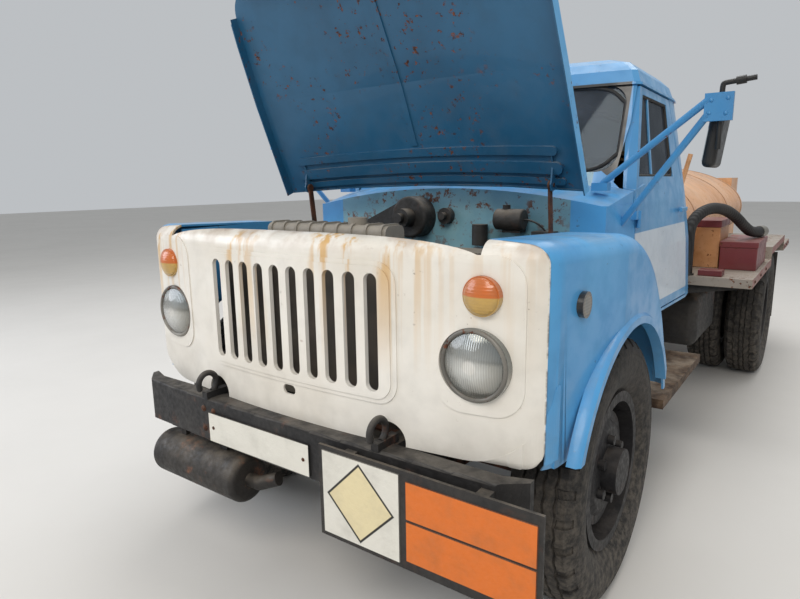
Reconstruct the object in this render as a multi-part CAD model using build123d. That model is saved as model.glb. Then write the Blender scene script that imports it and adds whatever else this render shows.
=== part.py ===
from build123d import *
import math
import os

# Light tanker truck with its hood open, in millimetres.
# X is the vehicle's left, Y runs rearwards and Z is up.
# The model is laid out by stations: Y is counted from the front axle, and the
# whole truck is moved by MID_STATION on export, so that its middle is at Y = 0.

# Chassis
WHEELBASE = 3300.0
FRONT_TRACK = 1630.0
REAR_TRACK = 1690.0
FRONT_REACH = 778.0
REAR_REACH = 4900.0
MID_STATION = (REAR_REACH - FRONT_REACH) / 2

RAIL_OUTER_X = 430.0
RAIL_WIDTH = 60.0
RAIL_DEPTH = 160.0
RAIL_WALL = 8.0
RAIL_TOP_FRONT = 705.0
RAIL_TOP_REAR = 780.0
RAIL_FRONT_Y = -660.0
RAIL_REAR_Y = 4840.0
RAIL_KICK_START_Y = 350.0
RAIL_KICK_END_Y = 750.0

# Wheels
TYRE_RADIUS = 480.0
TYRE_WIDTH = 235.0
TYRE_BEAD_RADIUS = 258.0
RIM_RADIUS = 285.0
RIM_WIDTH = 180.0
RIM_WALL = 10.0
TWIN_SPACING = 262.0
STUD_COUNT = 6
STUD_CIRCLE_RADIUS = 111.0
STUD_RADIUS = 11.0
HUB_RADIUS = 82.0
DRUM_RADIUS = 205.0
SPINDLE_RADIUS = 32.0
RUNNING_GAP = 0.3
SEAT_GAP = 0.3

# Front axle and steering
KINGPIN_X = 700.0
KINGPIN_RADIUS = 18.0
AXLE_BOSS_RADIUS = 42.0
AXLE_BOSS_HALF_HEIGHT = 50.0
KNUCKLE_EAR = 30.0
BEAM_TOP_Z = 455.0
BEAM_DEPTH = 75.0
BEAM_WIDTH = 70.0
SPRING_X = 400.0
SPRING_WIDTH = 64.0
LEAF_OVERLAP = 0.6
TIE_ROD_Y = 175.0
TIE_ROD_Z = 388.0
TIE_ROD_ARM_X = 700.0
TIE_ROD_RADIUS = 16.0

# Front end sheet metal
BUMPER_LOW_Z = 535.0
BUMPER_TOP_Z = 710.0
BUMPER_EDGE_RADIUS = 8.0
HOOK_X = 409.0
HOOK_BAR = 11.0
SHEET = 8.0
NOSE_FACE_Y = -694.0
NOSE_CORNER_Y = -602.0
NOSE_CORNER_RADIUS = 95.0
NOSE_EDGE_RADIUS = 62.0
NOSE_FOOT_X = 655.0
NOSE_FOOT_RADIUS = 240.0
PANEL_STEP = 4.0
NOSE_SPLIT_Y = -585.0
NOSE_TOP_Z = 1350.0
NOSE_BOTTOM_Z = 710.3
FENDER_HALF_WIDTH_FRONT = 895.0
FENDER_HALF_WIDTH = 948.0
FENDER_TOP_Z = 1330.0
BAY_HALF_WIDTH = 700.0
ARCH_RADIUS = 536.0
ARCH_LIP = 38.0
ARCH_FLARE = 10.0
SLOT_COUNT = 10
SLOT_PITCH = 80.0
SLOT_WIDTH = 47.0
SLOT_BOTTOM_Z = 872.0
SLOT_TOP_Z = 1240.0
HEADLAMP_X = 690.0
HEADLAMP_Z = 1000.0
HEADLAMP_RADIUS = 107.0
SIGNAL_X = 712.0
SIGNAL_Z = 1198.0
SIGNAL_RADIUS = 56.0

# Hood: modelled shut, then swung open on its links
HOOD_REAR_Y = 292.0
HOOD_FRONT_Y = -618.0
HOOD_REAR_HALF_WIDTH = 742.0
HOOD_FRONT_HALF_WIDTH = 690.0
HOOD_OPEN_ANGLE = 69.0
HOOD_TURN_Y = 238.0
HOOD_TURN_Z = 1576.0
HOOD_SKIN = 5.0
HOOD_NOSE_GAP = 17.0
HOOD_CORNER_RADIUS = 120.0
# station, half length, width and depth of each cross rib
HOOD_RIBS = [
    (140.0, 640.0, 34.0, 10.0),
    (205.0, 655.0, 46.0, 14.0),
    (258.0, 660.0, 26.0, 10.0),
]
LINK_HEAD_REACH = 190.0
LINK_HEAD_ANGLE = 277.9
LINK_FOOT_REACH = 320.0
LINK_X = 604.0
LINK_PLATE = 8.0
LINK_PIN_RADIUS = 8.0

# Cab
CAB_WALL = 30.0
CAB_FRONT_Y = 300.0
DOOR_FRONT_Y = 578.0
DOOR_REAR_Y = 1444.0
CAB_REAR_Y = 1640.0
CAB_BOTTOM_Z = 870.0
CAB_MOUNT_STATIONS = (820.0, 1540.0)
SEAT_BOTTOM_Z = 1080.0
BELT_Z = 1400.0
EAVES_Z = 1915.0
ROOF_TOP_Z = 2048.0
COWL_HALF_WIDTH = 742.0
DOOR_FRONT_HALF_WIDTH = 776.0
DOOR_REAR_HALF_WIDTH = 794.0
CAB_REAR_HALF_WIDTH = 800.0
DOOR_BOTTOM_Z = 890.0
DOOR_TOP_Z = 1894.0
DOOR_GAP = 7.0
DOOR_THICKNESS = 48.0
SILL_Z = 1512.0
GLASS = 6.0
# side outline of the bar between the vent pane and the main pane
VENT_POST = [(872.0, 1480.0), (892.0, 1480.0), (906.0, 1880.0), (886.0, 1880.0)]
DOOR_HANDLE = (1385.0, 1345.0)
GUTTER_REACH = 9.0
SCREEN_Z = 1717.0
SCREEN_WIDTH = 1366.0
SCREEN_HEIGHT = 366.0
SCREEN_RADIUS = 80.0
MIRROR_X = 1098.0
MIRROR_Y = 330.0
MIRROR_CLAMP_Z = (1694.0, 1788.0)
MIRROR_TOP_FOOT = (681.0, 430.0, 1487.0)
MIRROR_SIDE_FOOT = (757.0, 450.0, 1324.0)
MIRROR_TUBE = 13.0
MIRROR_BAR = 9.0
MIRROR_FOLD_ANGLE = 126.0
HINGE_PIN_X = 792.0
HINGE_PIN_Y = 582.0
HINGE_HEIGHTS = (1000.0, 1300.0)
HINGE_HALF = 36.0
HINGE_RADIUS = 9.0
HINGE_BORE = 4.0

# Tank and rear body
TANK_HALF_WIDTH = 735.0
TANK_HALF_HEIGHT = 363.0
TANK_CENTRE_Z = 1237.0
TANK_FRONT_Y = 1760.0
TANK_REAR_Y = 4400.0
TANK_SEAMS = (2150.0, 3450.0, 4280.0)
SEAM_WIDTH = 16.0
SEAM_HEIGHT = 2.5
DECK_Z = 950.0
DECK_HALF_WIDTH = 1125.0
DECK_INNER_X = 470.0
DECK_FRONT_Y = 1680.0
DECK_REAR_Y = 4430.0
DECK_PLATE = 6.0
DECK_RIM = 50.0
MANHOLE_Y = 3000.0
MANHOLE_RADIUS = 280.0
MANHOLE_TOP_Z = 1680.0
MANHOLE_HINGE_REACH = 305.0
HUMP_FRONT_Y = 2760.0
HUMP_REAR_Y = 3840.0
HUMP_Z = 1030.0
HUMP_INNER_X = 622.0
CABINET_FRONT_Y = 4450.0
CABINET_REAR_Y = 4850.0
CABINET_HALF_WIDTH = 620.0
CABINET_BOTTOM_Z = 800.0
CABINET_TOP_Z = 1500.0
CABINET_WALL = 20.0
FLANGE_X = 280.0
FLANGE_Z = 1300.0
FLANGE_RADIUS = 75.0
FLANGE_THICKNESS = 20.0
FLANGE_PITCH = 115.0
FLANGE_HOLES = 4
FLANGE_HOLE_RADIUS = 9.0
OUTLET_BORE_RADIUS = 32.0
OUTLET_DEPTH = 80.0
TOW_BORE_Y = 4880.0
TOW_BORE_RADIUS = 12.0
CABINET_HINGE_X = 597.0

# Loose hose: stations of its route, chosen by hand
HOSE_RADIUS = 33.0
HOSE_START = (780.0, 1724.0, 1010.0)
HOSE_ROUTE = [
    (780.0, 1724.0, 1010.0),
    (780.0, 1724.0, 1120.0),
    (777.0, 1742.0, 1222.0),
    (802.0, 1798.0, 1290.0),
    (850.0, 1900.0, 1328.0),
    (906.0, 2022.0, 1320.0),
    (958.0, 2132.0, 1272.0),
    (1000.0, 2226.0, 1204.0),
    (1034.0, 2322.0, 1158.3),
    (1064.0, 2424.0, 1158.3),
]


def block(x0, x1, y0, y1, z0, z1):
    """A box between two corners."""
    size = Box(x1 - x0, y1 - y0, z1 - z0)
    return Pos((x0 + x1) / 2, (y0 + y1) / 2, (z0 + z1) / 2) * size


def rod(start, end, radius):
    """A round bar from one point to another."""
    start = Vector(*start)
    run = Vector(*end) - start
    bar = Cylinder(radius, run.length, align=(Align.CENTER, Align.CENTER, Align.MIN))
    return Plane(origin=start, z_dir=run) * bar


def prism_x(points, x0, x1):
    """A side outline of (y, z) points, drawn from x0 to x1."""
    face = Plane.YZ.offset(x0) * make_face(Polyline(*points, close=True))
    return extrude(face, x1 - x0)


def prism_y(points, y0, y1):
    """A front outline of (x, z) points, drawn from y0 to y1."""
    plane = Plane(origin=(0, y1, 0), x_dir=(1, 0, 0), z_dir=(0, -1, 0))
    return extrude(plane * make_face(Polyline(*points, close=True)), y1 - y0)


def prism_z(points, z0, z1):
    """A plan outline of (x, y) points, drawn from z0 to z1."""
    return extrude(Plane.XY.offset(z0) * make_face(Polyline(*points, close=True)), z1 - z0)


def flip(shape):
    """The same piece on the other side of the truck."""
    return mirror(shape, about=Plane.YZ)


def both(shape):
    """A piece and its mirror image, as solids of one node."""
    return [shape, flip(shape)]


def solids_of(shapes):
    """All solids of a shape or a list of shapes."""
    found = []
    for shape in shapes if isinstance(shapes, (list, tuple)) else [shapes]:
        found.extend(shape.solids())
    return found


def save(name, shapes):
    """Write one node, moved so that the truck's middle is at Y = 0."""
    moved = [Pos(0, -MID_STATION, 0) * solid for solid in solids_of(shapes)]
    node = moved[0] if len(moved) == 1 else Compound(children=moved)
    export_step(node, "parts/" + name + ".step")


def turn_about_x(shape, y, z, angle):
    """Turn a shape by an angle about an axis along X."""
    return shape.rotate(Axis((0, y, z), (1, 0, 0)), angle)


# Frame

def rail_outline(inset):
    top_front = RAIL_TOP_FRONT - inset
    top_rear = RAIL_TOP_REAR - inset
    low_front = RAIL_TOP_FRONT - RAIL_DEPTH + inset
    low_rear = RAIL_TOP_REAR - RAIL_DEPTH + inset
    past = 1.0 if inset else 0.0
    return [
        (RAIL_FRONT_Y - past, top_front), (RAIL_KICK_START_Y, top_front),
        (RAIL_KICK_END_Y, top_rear), (RAIL_REAR_Y + past, top_rear),
        (RAIL_REAR_Y + past, low_rear), (RAIL_KICK_END_Y, low_rear),
        (RAIL_KICK_START_Y, low_front), (RAIL_FRONT_Y - past, low_front),
    ]


def frame_rails():
    inner_x = RAIL_OUTER_X - RAIL_WIDTH
    rail = prism_x(rail_outline(0.0), inner_x, RAIL_OUTER_X)
    rail -= prism_x(rail_outline(RAIL_WALL), inner_x - 1, RAIL_OUTER_X - RAIL_WALL)
    return both(rail)


def crossmembers():
    # station, top, depth, length along the truck
    table = [
        (-620.0, RAIL_TOP_FRONT, RAIL_DEPTH, 60.0),
        (560.0, 730.0, 60.0, 70.0),
        (1500.0, RAIL_TOP_REAR, RAIL_DEPTH, 70.0),
        (2700.0, RAIL_TOP_REAR, RAIL_DEPTH, 70.0),
        (3900.0, RAIL_TOP_REAR, RAIL_DEPTH, 70.0),
        (4700.0, RAIL_TOP_REAR, RAIL_DEPTH, 70.0),
    ]
    half = RAIL_OUTER_X - RAIL_WALL
    pieces = []
    for station, top, depth, length in table:
        high = top - RAIL_WALL - 1
        low = top - depth + RAIL_WALL + 1
        y0 = station - length / 2
        beam = block(-half, half, y0, y0 + length, low, high)
        beam -= block(-half + 40, half - 40, y0 + 8, y0 + length + 1, low + 6, high - 6)
        pieces.append(beam)
    for x in (-SPRING_X, SPRING_X):
        for station in CAB_MOUNT_STATIONS:
            pieces.append(rod((x, station, RAIL_TOP_REAR + SEAT_GAP), (x, station, CAB_BOTTOM_Z - SEAT_GAP), 29.0))
    return pieces


# Axles and springs

def front_axle():
    drop = BEAM_TOP_Z - BEAM_DEPTH
    end_low = TYRE_RADIUS - AXLE_BOSS_HALF_HEIGHT
    end_high = TYRE_RADIUS + AXLE_BOSS_HALF_HEIGHT
    inner = KINGPIN_X - AXLE_BOSS_RADIUS
    outline = [
        (-inner, end_high), (-560, BEAM_TOP_Z), (560, BEAM_TOP_Z), (inner, end_high),
        (KINGPIN_X, end_high), (KINGPIN_X, end_low), (inner, end_low),
        (540, drop), (-540, drop), (-inner, end_low),
        (-KINGPIN_X, end_low), (-KINGPIN_X, end_high),
    ]
    beam = prism_y(outline, -BEAM_WIDTH / 2, BEAM_WIDTH / 2)
    for side in (-1, 1):
        groove = prism_y([(-600, BEAM_TOP_Z - 14), (600, BEAM_TOP_Z - 14),
                          (520, drop + 14), (-520, drop + 14)], side * 40 - 12, side * 40 + 12)
        beam -= groove
    for side in (-1, 1):
        x = side * KINGPIN_X
        beam += rod((x, 0, end_low), (x, 0, end_high), AXLE_BOSS_RADIUS)
        beam -= rod((x, 0, end_low - 1), (x, 0, end_high + 1), KINGPIN_RADIUS + RUNNING_GAP)
    return beam


def spring_pack(station, half_span, low_z, camber, leaves, leaf, hanger_top):
    """One leaf spring with its clips, hangers and U-bolts, on the left side."""
    x0 = SPRING_X - SPRING_WIDTH / 2
    x1 = SPRING_X + SPRING_WIDTH / 2
    rise = camber / half_span ** 2
    pack = None
    for index in range(leaves):
        reach = half_span * (1 - 0.8 * index / leaves)
        top = low_z + leaf * (leaves - index)
        bottom = max(top - leaf - LEAF_OVERLAP, low_z)
        narrow = index % 2
        ends = rise * reach ** 2
        arc_top = ThreePointArc((station - reach, top + ends), (station, top), (station + reach, top + ends))
        arc_low = ThreePointArc((station + reach, bottom + ends), (station, bottom),
                                (station - reach, bottom + ends))
        outline = Curve() + [arc_top, Line(arc_top @ 1, arc_low @ 0), arc_low, Line(arc_low @ 1, arc_top @ 0)]
        plate = extrude(Plane.YZ.offset(x0 + narrow) * make_face(outline), x1 - x0 - 2 * narrow)
        pack = plate if pack is None else pack + plate
    eye_z = low_z + leaf * (leaves - 0.5) + camber
    for side in (-1, 1):
        y = station + side * half_span
        pack += rod((x0, y, eye_z), (x1, y, eye_z), 24.0)
        if side < 0:
            hanger = block(x0 + 6, x1 - 6, y - 30, y + 30, eye_z, hanger_top)
        else:
            hanger = block(x0 + 6, x1 - 6, y - 18, y + 18, eye_z, hanger_top)
        pack += hanger
    pack += block(x0 - 8, x1 + 8, station - 60, station + 60, low_z, low_z + leaf * leaves + 16)
    return pack


def leaf_springs():
    front = spring_pack(0.0, 560.0, BEAM_TOP_Z, 8.0, 6, 8.0, RAIL_TOP_FRONT - RAIL_DEPTH)
    rear_low = TYRE_RADIUS + 70.0
    rear = spring_pack(WHEELBASE, 640.0, rear_low, -10.0, 7, 7.0, RAIL_TOP_REAR - RAIL_DEPTH)
    return both(front) + both(rear)


def rear_axle():
    tube_end = REAR_TRACK / 2 - 105
    tube = rod((-tube_end, WHEELBASE, TYRE_RADIUS), (tube_end, WHEELBASE, TYRE_RADIUS), 55.0)
    housing = Pos(0, WHEELBASE, TYRE_RADIUS) * Rotation(90, 0, 0) * Cylinder(180.0, 150.0)
    cover = Pos(0, WHEELBASE + 75, TYRE_RADIUS) * Sphere(120.0)
    nose = Pos(0, WHEELBASE - 75, TYRE_RADIUS) * Rotation(90, 0, 0) * Cone(110.0, 60.0, 220.0,
        align=(Align.CENTER, Align.CENTER, Align.MIN))
    axle = tube + housing + cover + nose
    seat_low = TYRE_RADIUS
    for side in (-1, 1):
        x = side * SPRING_X
        axle += block(x - 45, x + 45, WHEELBASE - 60, WHEELBASE + 60, seat_low, TYRE_RADIUS + 70.0 - SEAT_GAP)
        hub_x = side * tube_end
        stub_x = side * (REAR_TRACK / 2 + 75)
        axle += rod((hub_x, WHEELBASE, TYRE_RADIUS), (stub_x, WHEELBASE, TYRE_RADIUS), SPINDLE_RADIUS)
    return axle


def driveshaft():
    start = (0, 700.0, 600.0)
    end = (0, WHEELBASE - 360.0, TYRE_RADIUS)
    shaft = rod(start, end, 38.0)
    shaft += Pos(*start) * Sphere(56.0)
    shaft += Pos(*end) * Sphere(56.0)
    shaft += rod(end, (0, WHEELBASE - 295.0 - SEAT_GAP, TYRE_RADIUS), 50.0)
    shaft += rod((0, 330.0, 600.0), start, 50.0)
    return shaft


# Wheels

def tyre_solid(x_centre, y_centre):
    """A tyre as a turned section: bead, bulging wall, shoulder and flat tread."""
    half = TYRE_WIDTH / 2
    tread = half - 26
    bead = RIM_WIDTH / 2 - 12 - SEAT_GAP
    heel = RIM_RADIUS + 3
    mid = (TYRE_RADIUS + heel) / 2
    foot_right = Line((bead, TYRE_BEAD_RADIUS), (bead, heel))
    wall_right = ThreePointArc((bead, heel), (half, mid), (tread + 8, TYRE_RADIUS - 22))
    shoulder_right = Line((tread + 8, TYRE_RADIUS - 22), (tread - 6, TYRE_RADIUS - 3))
    crown = ThreePointArc((tread - 6, TYRE_RADIUS - 3), (0, TYRE_RADIUS), (-tread + 6, TYRE_RADIUS - 3))
    shoulder_left = Line((-tread + 6, TYRE_RADIUS - 3), (-tread - 8, TYRE_RADIUS - 22))
    wall_left = ThreePointArc((-tread - 8, TYRE_RADIUS - 22), (-half, mid), (-bead, heel))
    foot_left = Line((-bead, heel), (-bead, TYRE_BEAD_RADIUS))
    inner = Polyline((-bead, TYRE_BEAD_RADIUS), (-bead + 14, TYRE_BEAD_RADIUS + 30),
                     (bead - 14, TYRE_BEAD_RADIUS + 30), (bead, TYRE_BEAD_RADIUS))
    outline = Curve() + [foot_right, wall_right, shoulder_right, crown, shoulder_left, wall_left, foot_left, inner]
    section = Plane.XY * make_face(outline)
    ring = revolve(section, Axis.X)
    return Pos(x_centre, y_centre, TYRE_RADIUS) * ring


def rim_ring(x_centre, y_centre):
    """The rim barrel with its flanges."""
    half = RIM_WIDTH / 2
    seat = TYRE_BEAD_RADIUS - SEAT_GAP
    bead = half - 12
    points = [
        (-half, RIM_RADIUS), (-half + 8, RIM_RADIUS), (-half + 10, seat), (bead, seat),
        (half - 8, RIM_RADIUS), (half, RIM_RADIUS), (half, seat - RIM_WALL), (-half, seat - RIM_WALL),
    ]
    ring = revolve(make_face(Polyline(*points, close=True)), Axis.X)
    return Pos(x_centre, y_centre, TYRE_RADIUS) * ring


def disc_plate(x_rim, x_centre_face, y_centre):
    """The dished disc between the rim barrel and the hub, with hand holes."""
    reach = TYRE_BEAD_RADIUS - SEAT_GAP - RIM_WALL
    points = [
        (x_rim - 6, reach + 1), (x_rim + 6, reach + 1), (x_rim + 6, reach - 20),
        (x_centre_face + 6, 150.0), (x_centre_face + 6, 60.0),
        (x_centre_face - 6, 60.0), (x_centre_face - 6, 155.0), (x_rim - 6, reach - 20),
    ]
    disc = revolve(make_face(Polyline(*points, close=True)), Axis.X)
    for index in range(6):
        angle = 30 + index * 60
        hole = rod((x_rim - 80, 0, 193.0), (x_rim + 80, 0, 193.0), 24.0)
        disc -= hole.rotate(Axis.X, angle)
    return Pos(0, y_centre, TYRE_RADIUS) * disc


def wheel_nuts(x_from, x_to, y_centre, radius=STUD_RADIUS + 6):
    nuts = []
    for index in range(STUD_COUNT):
        angle = math.radians(index * 360 / STUD_COUNT)
        y = y_centre + STUD_CIRCLE_RADIUS * math.sin(angle)
        z = TYRE_RADIUS + STUD_CIRCLE_RADIUS * math.cos(angle)
        nuts.append(rod((x_from, y, z), (x_to, y, z), radius))
    return nuts


def front_rim():
    """Left front rim, disc, hub and brake drum around the spindle."""
    x = FRONT_TRACK / 2
    face = x + 62.0
    wheel = rim_ring(x, 0.0) + disc_plate(x + 10.0, face, 0.0)
    hub = rod((x - 30, 0, TYRE_RADIUS), (face + 60, 0, TYRE_RADIUS), HUB_RADIUS)
    hub += rod((face - 20, 0, TYRE_RADIUS), (face - 5, 0, TYRE_RADIUS), 140.0)
    hub += rod((x - 60, 0, TYRE_RADIUS), (face - 10, 0, TYRE_RADIUS), DRUM_RADIUS)
    hub -= rod((x - 61, 0, TYRE_RADIUS), (x + 20, 0, TYRE_RADIUS), DRUM_RADIUS - 14)
    hub += rod((x - 30, 0, TYRE_RADIUS), (x + 30, 0, TYRE_RADIUS), HUB_RADIUS)
    wheel += hub
    wheel += wheel_nuts(face, face + 28, 0.0)
    wheel -= rod((x - 70, 0, TYRE_RADIUS), (face + 20, 0, TYRE_RADIUS), SPINDLE_RADIUS + RUNNING_GAP)
    return wheel


def rear_rims():
    """Left rear pair of rims on one hub and drum."""
    y = WHEELBASE
    inner = REAR_TRACK / 2 - TWIN_SPACING / 2
    outer = REAR_TRACK / 2 + TWIN_SPACING / 2
    face = REAR_TRACK / 2
    wheel = rim_ring(inner, y) + disc_plate(inner - 10.0, face - 6.0, y)
    wheel += rim_ring(outer, y) + disc_plate(outer + 10.0, face + 6.0, y)
    wheel += rod((inner - 60, y, TYRE_RADIUS), (face - 4, y, TYRE_RADIUS), DRUM_RADIUS)
    wheel -= rod((inner - 61, y, TYRE_RADIUS), (inner + 40, y, TYRE_RADIUS), DRUM_RADIUS - 14)
    wheel += rod((face - 98, y, TYRE_RADIUS), (face + 90, y, TYRE_RADIUS), HUB_RADIUS)
    wheel += rod((face + 80, y, TYRE_RADIUS), (face + 105, y, TYRE_RADIUS), HUB_RADIUS - 15)
    wheel += wheel_nuts(face, face + 40, y)
    wheel -= rod((inner - 70, y, TYRE_RADIUS), (face + 76, y, TYRE_RADIUS), SPINDLE_RADIUS + RUNNING_GAP)
    return wheel


def rear_tyres():
    inner = REAR_TRACK / 2 - TWIN_SPACING / 2
    outer = REAR_TRACK / 2 + TWIN_SPACING / 2
    return [tyre_solid(inner, WHEELBASE), tyre_solid(outer, WHEELBASE)]


# Steering

def knuckle(side):
    """Yoke around the axle end, its kingpin, the spindle and the steering arm."""
    x = KINGPIN_X
    low = TYRE_RADIUS - AXLE_BOSS_HALF_HEIGHT - RUNNING_GAP
    high = TYRE_RADIUS + AXLE_BOSS_HALF_HEIGHT + RUNNING_GAP
    body = rod((x, 0, low - KNUCKLE_EAR), (x, 0, low), 36.0)
    body += rod((x, 0, high), (x, 0, high + KNUCKLE_EAR), 36.0)
    body += block(x, x + 62, -30, 30, low - KNUCKLE_EAR, low)
    body += block(x, x + 62, -30, 30, high, high + KNUCKLE_EAR)
    wall = x + AXLE_BOSS_RADIUS + 6
    body += block(wall, x + 74, -34, 34, low - KNUCKLE_EAR, high + KNUCKLE_EAR)
    body += rod((x, 0, low - KNUCKLE_EAR), (x, 0, high + KNUCKLE_EAR), KINGPIN_RADIUS)
    body += rod((x + 60, 0, TYRE_RADIUS), (FRONT_TRACK / 2 + 80, 0, TYRE_RADIUS), SPINDLE_RADIUS)
    body += rod((x + 60, 0, TYRE_RADIUS), (x + 74, 0, TYRE_RADIUS), 120.0)
    arm = prism_z([(x - 20, 0), (x + 30, 0), (x + 10, 60), (TIE_ROD_ARM_X + 22, TIE_ROD_Y + 10),
                   (TIE_ROD_ARM_X - 22, TIE_ROD_Y + 10)], TIE_ROD_Z + 12, TIE_ROD_Z + 32)
    arm += rod((TIE_ROD_ARM_X, TIE_ROD_Y, TIE_ROD_Z + 12), (TIE_ROD_ARM_X, TIE_ROD_Y, TIE_ROD_Z + 32), 24.0)
    arm += rod((TIE_ROD_ARM_X, TIE_ROD_Y, TIE_ROD_Z - 26), (TIE_ROD_ARM_X, TIE_ROD_Y, TIE_ROD_Z + 14), 9.0)
    body += arm
    return body if side > 0 else flip(body)


def tie_rod():
    """The cross rod with an eye round the pin of each steering arm."""
    bar = rod((-TIE_ROD_ARM_X, TIE_ROD_Y, TIE_ROD_Z - 8), (TIE_ROD_ARM_X, TIE_ROD_Y, TIE_ROD_Z - 8), TIE_ROD_RADIUS)
    for side in (-1, 1):
        x = side * TIE_ROD_ARM_X
        bar += rod((x, TIE_ROD_Y, TIE_ROD_Z - 26), (x, TIE_ROD_Y, TIE_ROD_Z + 11.5), 24.0)
    for side in (-1, 1):
        x = side * TIE_ROD_ARM_X
        bar -= rod((x, TIE_ROD_Y, TIE_ROD_Z - 30), (x, TIE_ROD_Y, TIE_ROD_Z + 13), 9.0 + RUNNING_GAP)
    return bar


# Front end

def front_end_solid(inset):
    """Nose and fenders as one solid, drawn in by an inset on every outer side."""
    half_front = FENDER_HALF_WIDTH_FRONT
    half = FENDER_HALF_WIDTH
    front = ThreePointArc((-half_front, NOSE_CORNER_Y), (0, NOSE_FACE_Y), (half_front, NOSE_CORNER_Y))
    sides = Polyline((half_front, NOSE_CORNER_Y), (half, -120), (half, 700), (-half, 700), (-half, -120),
                     (-half_front, NOSE_CORNER_Y))
    outline = make_face(Curve() + [front, sides])
    tips = outline.vertices().sort_by(Axis.Y)[0:2]
    outline = fillet(tips, NOSE_CORNER_RADIUS)
    plan = extrude(Plane.XY.offset(500) * offset(outline, -inset, kind=Kind.INTERSECTION), 1000)
    crest = Line((-760, NOSE_TOP_Z + 3), (-80, FENDER_TOP_Z))
    shoulder = TangentArc(crest @ 1, (320, 1150), tangent=crest % 1)
    fall = TangentArc(shoulder @ 1, (560, 760), tangent=shoulder % 1)
    rest = Polyline(fall @ 1, (650, 500), (-760, 500), crest @ 0)
    profile = make_face(Curve() + [crest, shoulder, fall, rest])
    side = extrude(Plane.YZ.offset(-1000) * offset(profile, -inset, kind=Kind.INTERSECTION), 2000)
    form = plan & side
    return fillet([edge for edge in form.edges() if runs_along_top(edge)], NOSE_EDGE_RADIUS - inset)


def runs_along_top(edge):
    """Whether an edge of the front end lies between its top and its upright walls."""
    start = edge @ 0
    end = edge @ 1
    upright = abs(start.X - end.X) < 1 and abs(start.Y - end.Y) < 1
    across = abs(start.Y - end.Y) < 1 and (edge @ 0.5).Y > -300
    return (edge @ 0.5).Z > 800 and not upright and not across


def front_shell():
    shell = front_end_solid(0.0) - front_end_solid(SHEET)
    shell -= block(-1000, 1000, -800, 700, 500, NOSE_BOTTOM_Z - 140)
    foot_z = NOSE_BOTTOM_Z + NOSE_FOOT_RADIUS
    foot = block(NOSE_FOOT_X, 1000, -800, -556, 500, foot_z)
    foot -= rod((NOSE_FOOT_X, -801, foot_z), (NOSE_FOOT_X, -555, foot_z), NOSE_FOOT_RADIUS)
    return shell - both(foot)


def raised_panel(x, z, width, height, radius, step):
    """A stamped panel that stands proud of the nose by a step."""
    plane = Plane(origin=(x, NOSE_SPLIT_Y - 16, z), x_dir=(1, 0, 0), z_dir=(0, -1, 0))
    column = extrude(plane * RectangleRounded(width, height, radius), 200)
    return column & (front_end_solid(-step) - front_end_solid(1.0))


def nose_panel(shell):
    nose = shell & block(-1000, 1000, -800, NOSE_SPLIT_Y, NOSE_BOTTOM_Z, 1500)
    for side in (-1, 1):
        nose += raised_panel(side * 700, 1082, 262, 452, 85, PANEL_STEP)
    nose += raised_panel(0, 1056, 890, 442, 70, PANEL_STEP)
    nose += raised_panel(0, 1056, 850, 412, 55, 2 * PANEL_STEP)
    first = -(SLOT_COUNT - 1) / 2 * SLOT_PITCH
    for index in range(SLOT_COUNT):
        x = first + index * SLOT_PITCH
        height = SLOT_TOP_Z - SLOT_BOTTOM_Z
        slot = extrude(Plane(origin=(x, -640, (SLOT_TOP_Z + SLOT_BOTTOM_Z) / 2), x_dir=(1, 0, 0),
                             z_dir=(0, -1, 0)) * SlotOverall(height, SLOT_WIDTH, rotation=90), 100)
        nose -= slot
    for side in (-1, 1):
        nose -= rod((side * HEADLAMP_X, -720, HEADLAMP_Z), (side * HEADLAMP_X, -560, HEADLAMP_Z),
                    HEADLAMP_RADIUS + SEAT_GAP)
        nose -= rod((side * SIGNAL_X, -720, SIGNAL_Z), (side * SIGNAL_X, -560, SIGNAL_Z), SIGNAL_RADIUS + SEAT_GAP)
        nose -= rod((side * HOOK_X, -750, NOSE_BOTTOM_Z + 10), (side * HOOK_X, -600, NOSE_BOTTOM_Z + 10), 62.0)
    crank = Plane(origin=(0, -640, 811), x_dir=(1, 0, 0), z_dir=(0, -1, 0)) * SlotOverall(58, 34)
    nose -= extrude(crank, 100)
    nose -= block(-HOOD_FRONT_HALF_WIDTH - 12, HOOD_FRONT_HALF_WIDTH + 12, HOOD_FRONT_Y - HOOD_NOSE_GAP,
                  NOSE_SPLIT_Y + 1, 1290, 1400)
    return nose


def fender(shell, cab_body):
    front_x = HOOD_FRONT_HALF_WIDTH + 12
    rear_x = HOOD_REAR_HALF_WIDTH + 10
    outside = prism_z([(front_x, NOSE_SPLIT_Y), (1000, NOSE_SPLIT_Y), (1000, 660), (rear_x - 30, 660),
                       (rear_x, CAB_FRONT_Y)], 560, 1500)
    piece = shell & outside
    apron = prism_z([(front_x, NOSE_SPLIT_Y), (front_x + SHEET, NOSE_SPLIT_Y), (rear_x + SHEET, CAB_FRONT_Y),
                     (rear_x, CAB_FRONT_Y)], 1010, FENDER_TOP_Z - 2)
    piece += apron & front_end_solid(0.0)
    lip = rod((FENDER_HALF_WIDTH - 30, 0, TYRE_RADIUS), (FENDER_HALF_WIDTH + ARCH_FLARE, 0, TYRE_RADIUS),
              ARCH_RADIUS + ARCH_LIP)
    lip = chamfer(lip.edges().filter_by(GeomType.CIRCLE).sort_by(Axis.X)[-1], ARCH_FLARE + 2)
    piece += lip & block(FENDER_HALF_WIDTH - 30, FENDER_HALF_WIDTH + ARCH_FLARE, -552, 500, 690, 1500)
    piece -= rod((rear_x + SHEET + 2, 0, TYRE_RADIUS), (1010, 0, TYRE_RADIUS), ARCH_RADIUS)
    piece -= cab_body
    return piece


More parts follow.
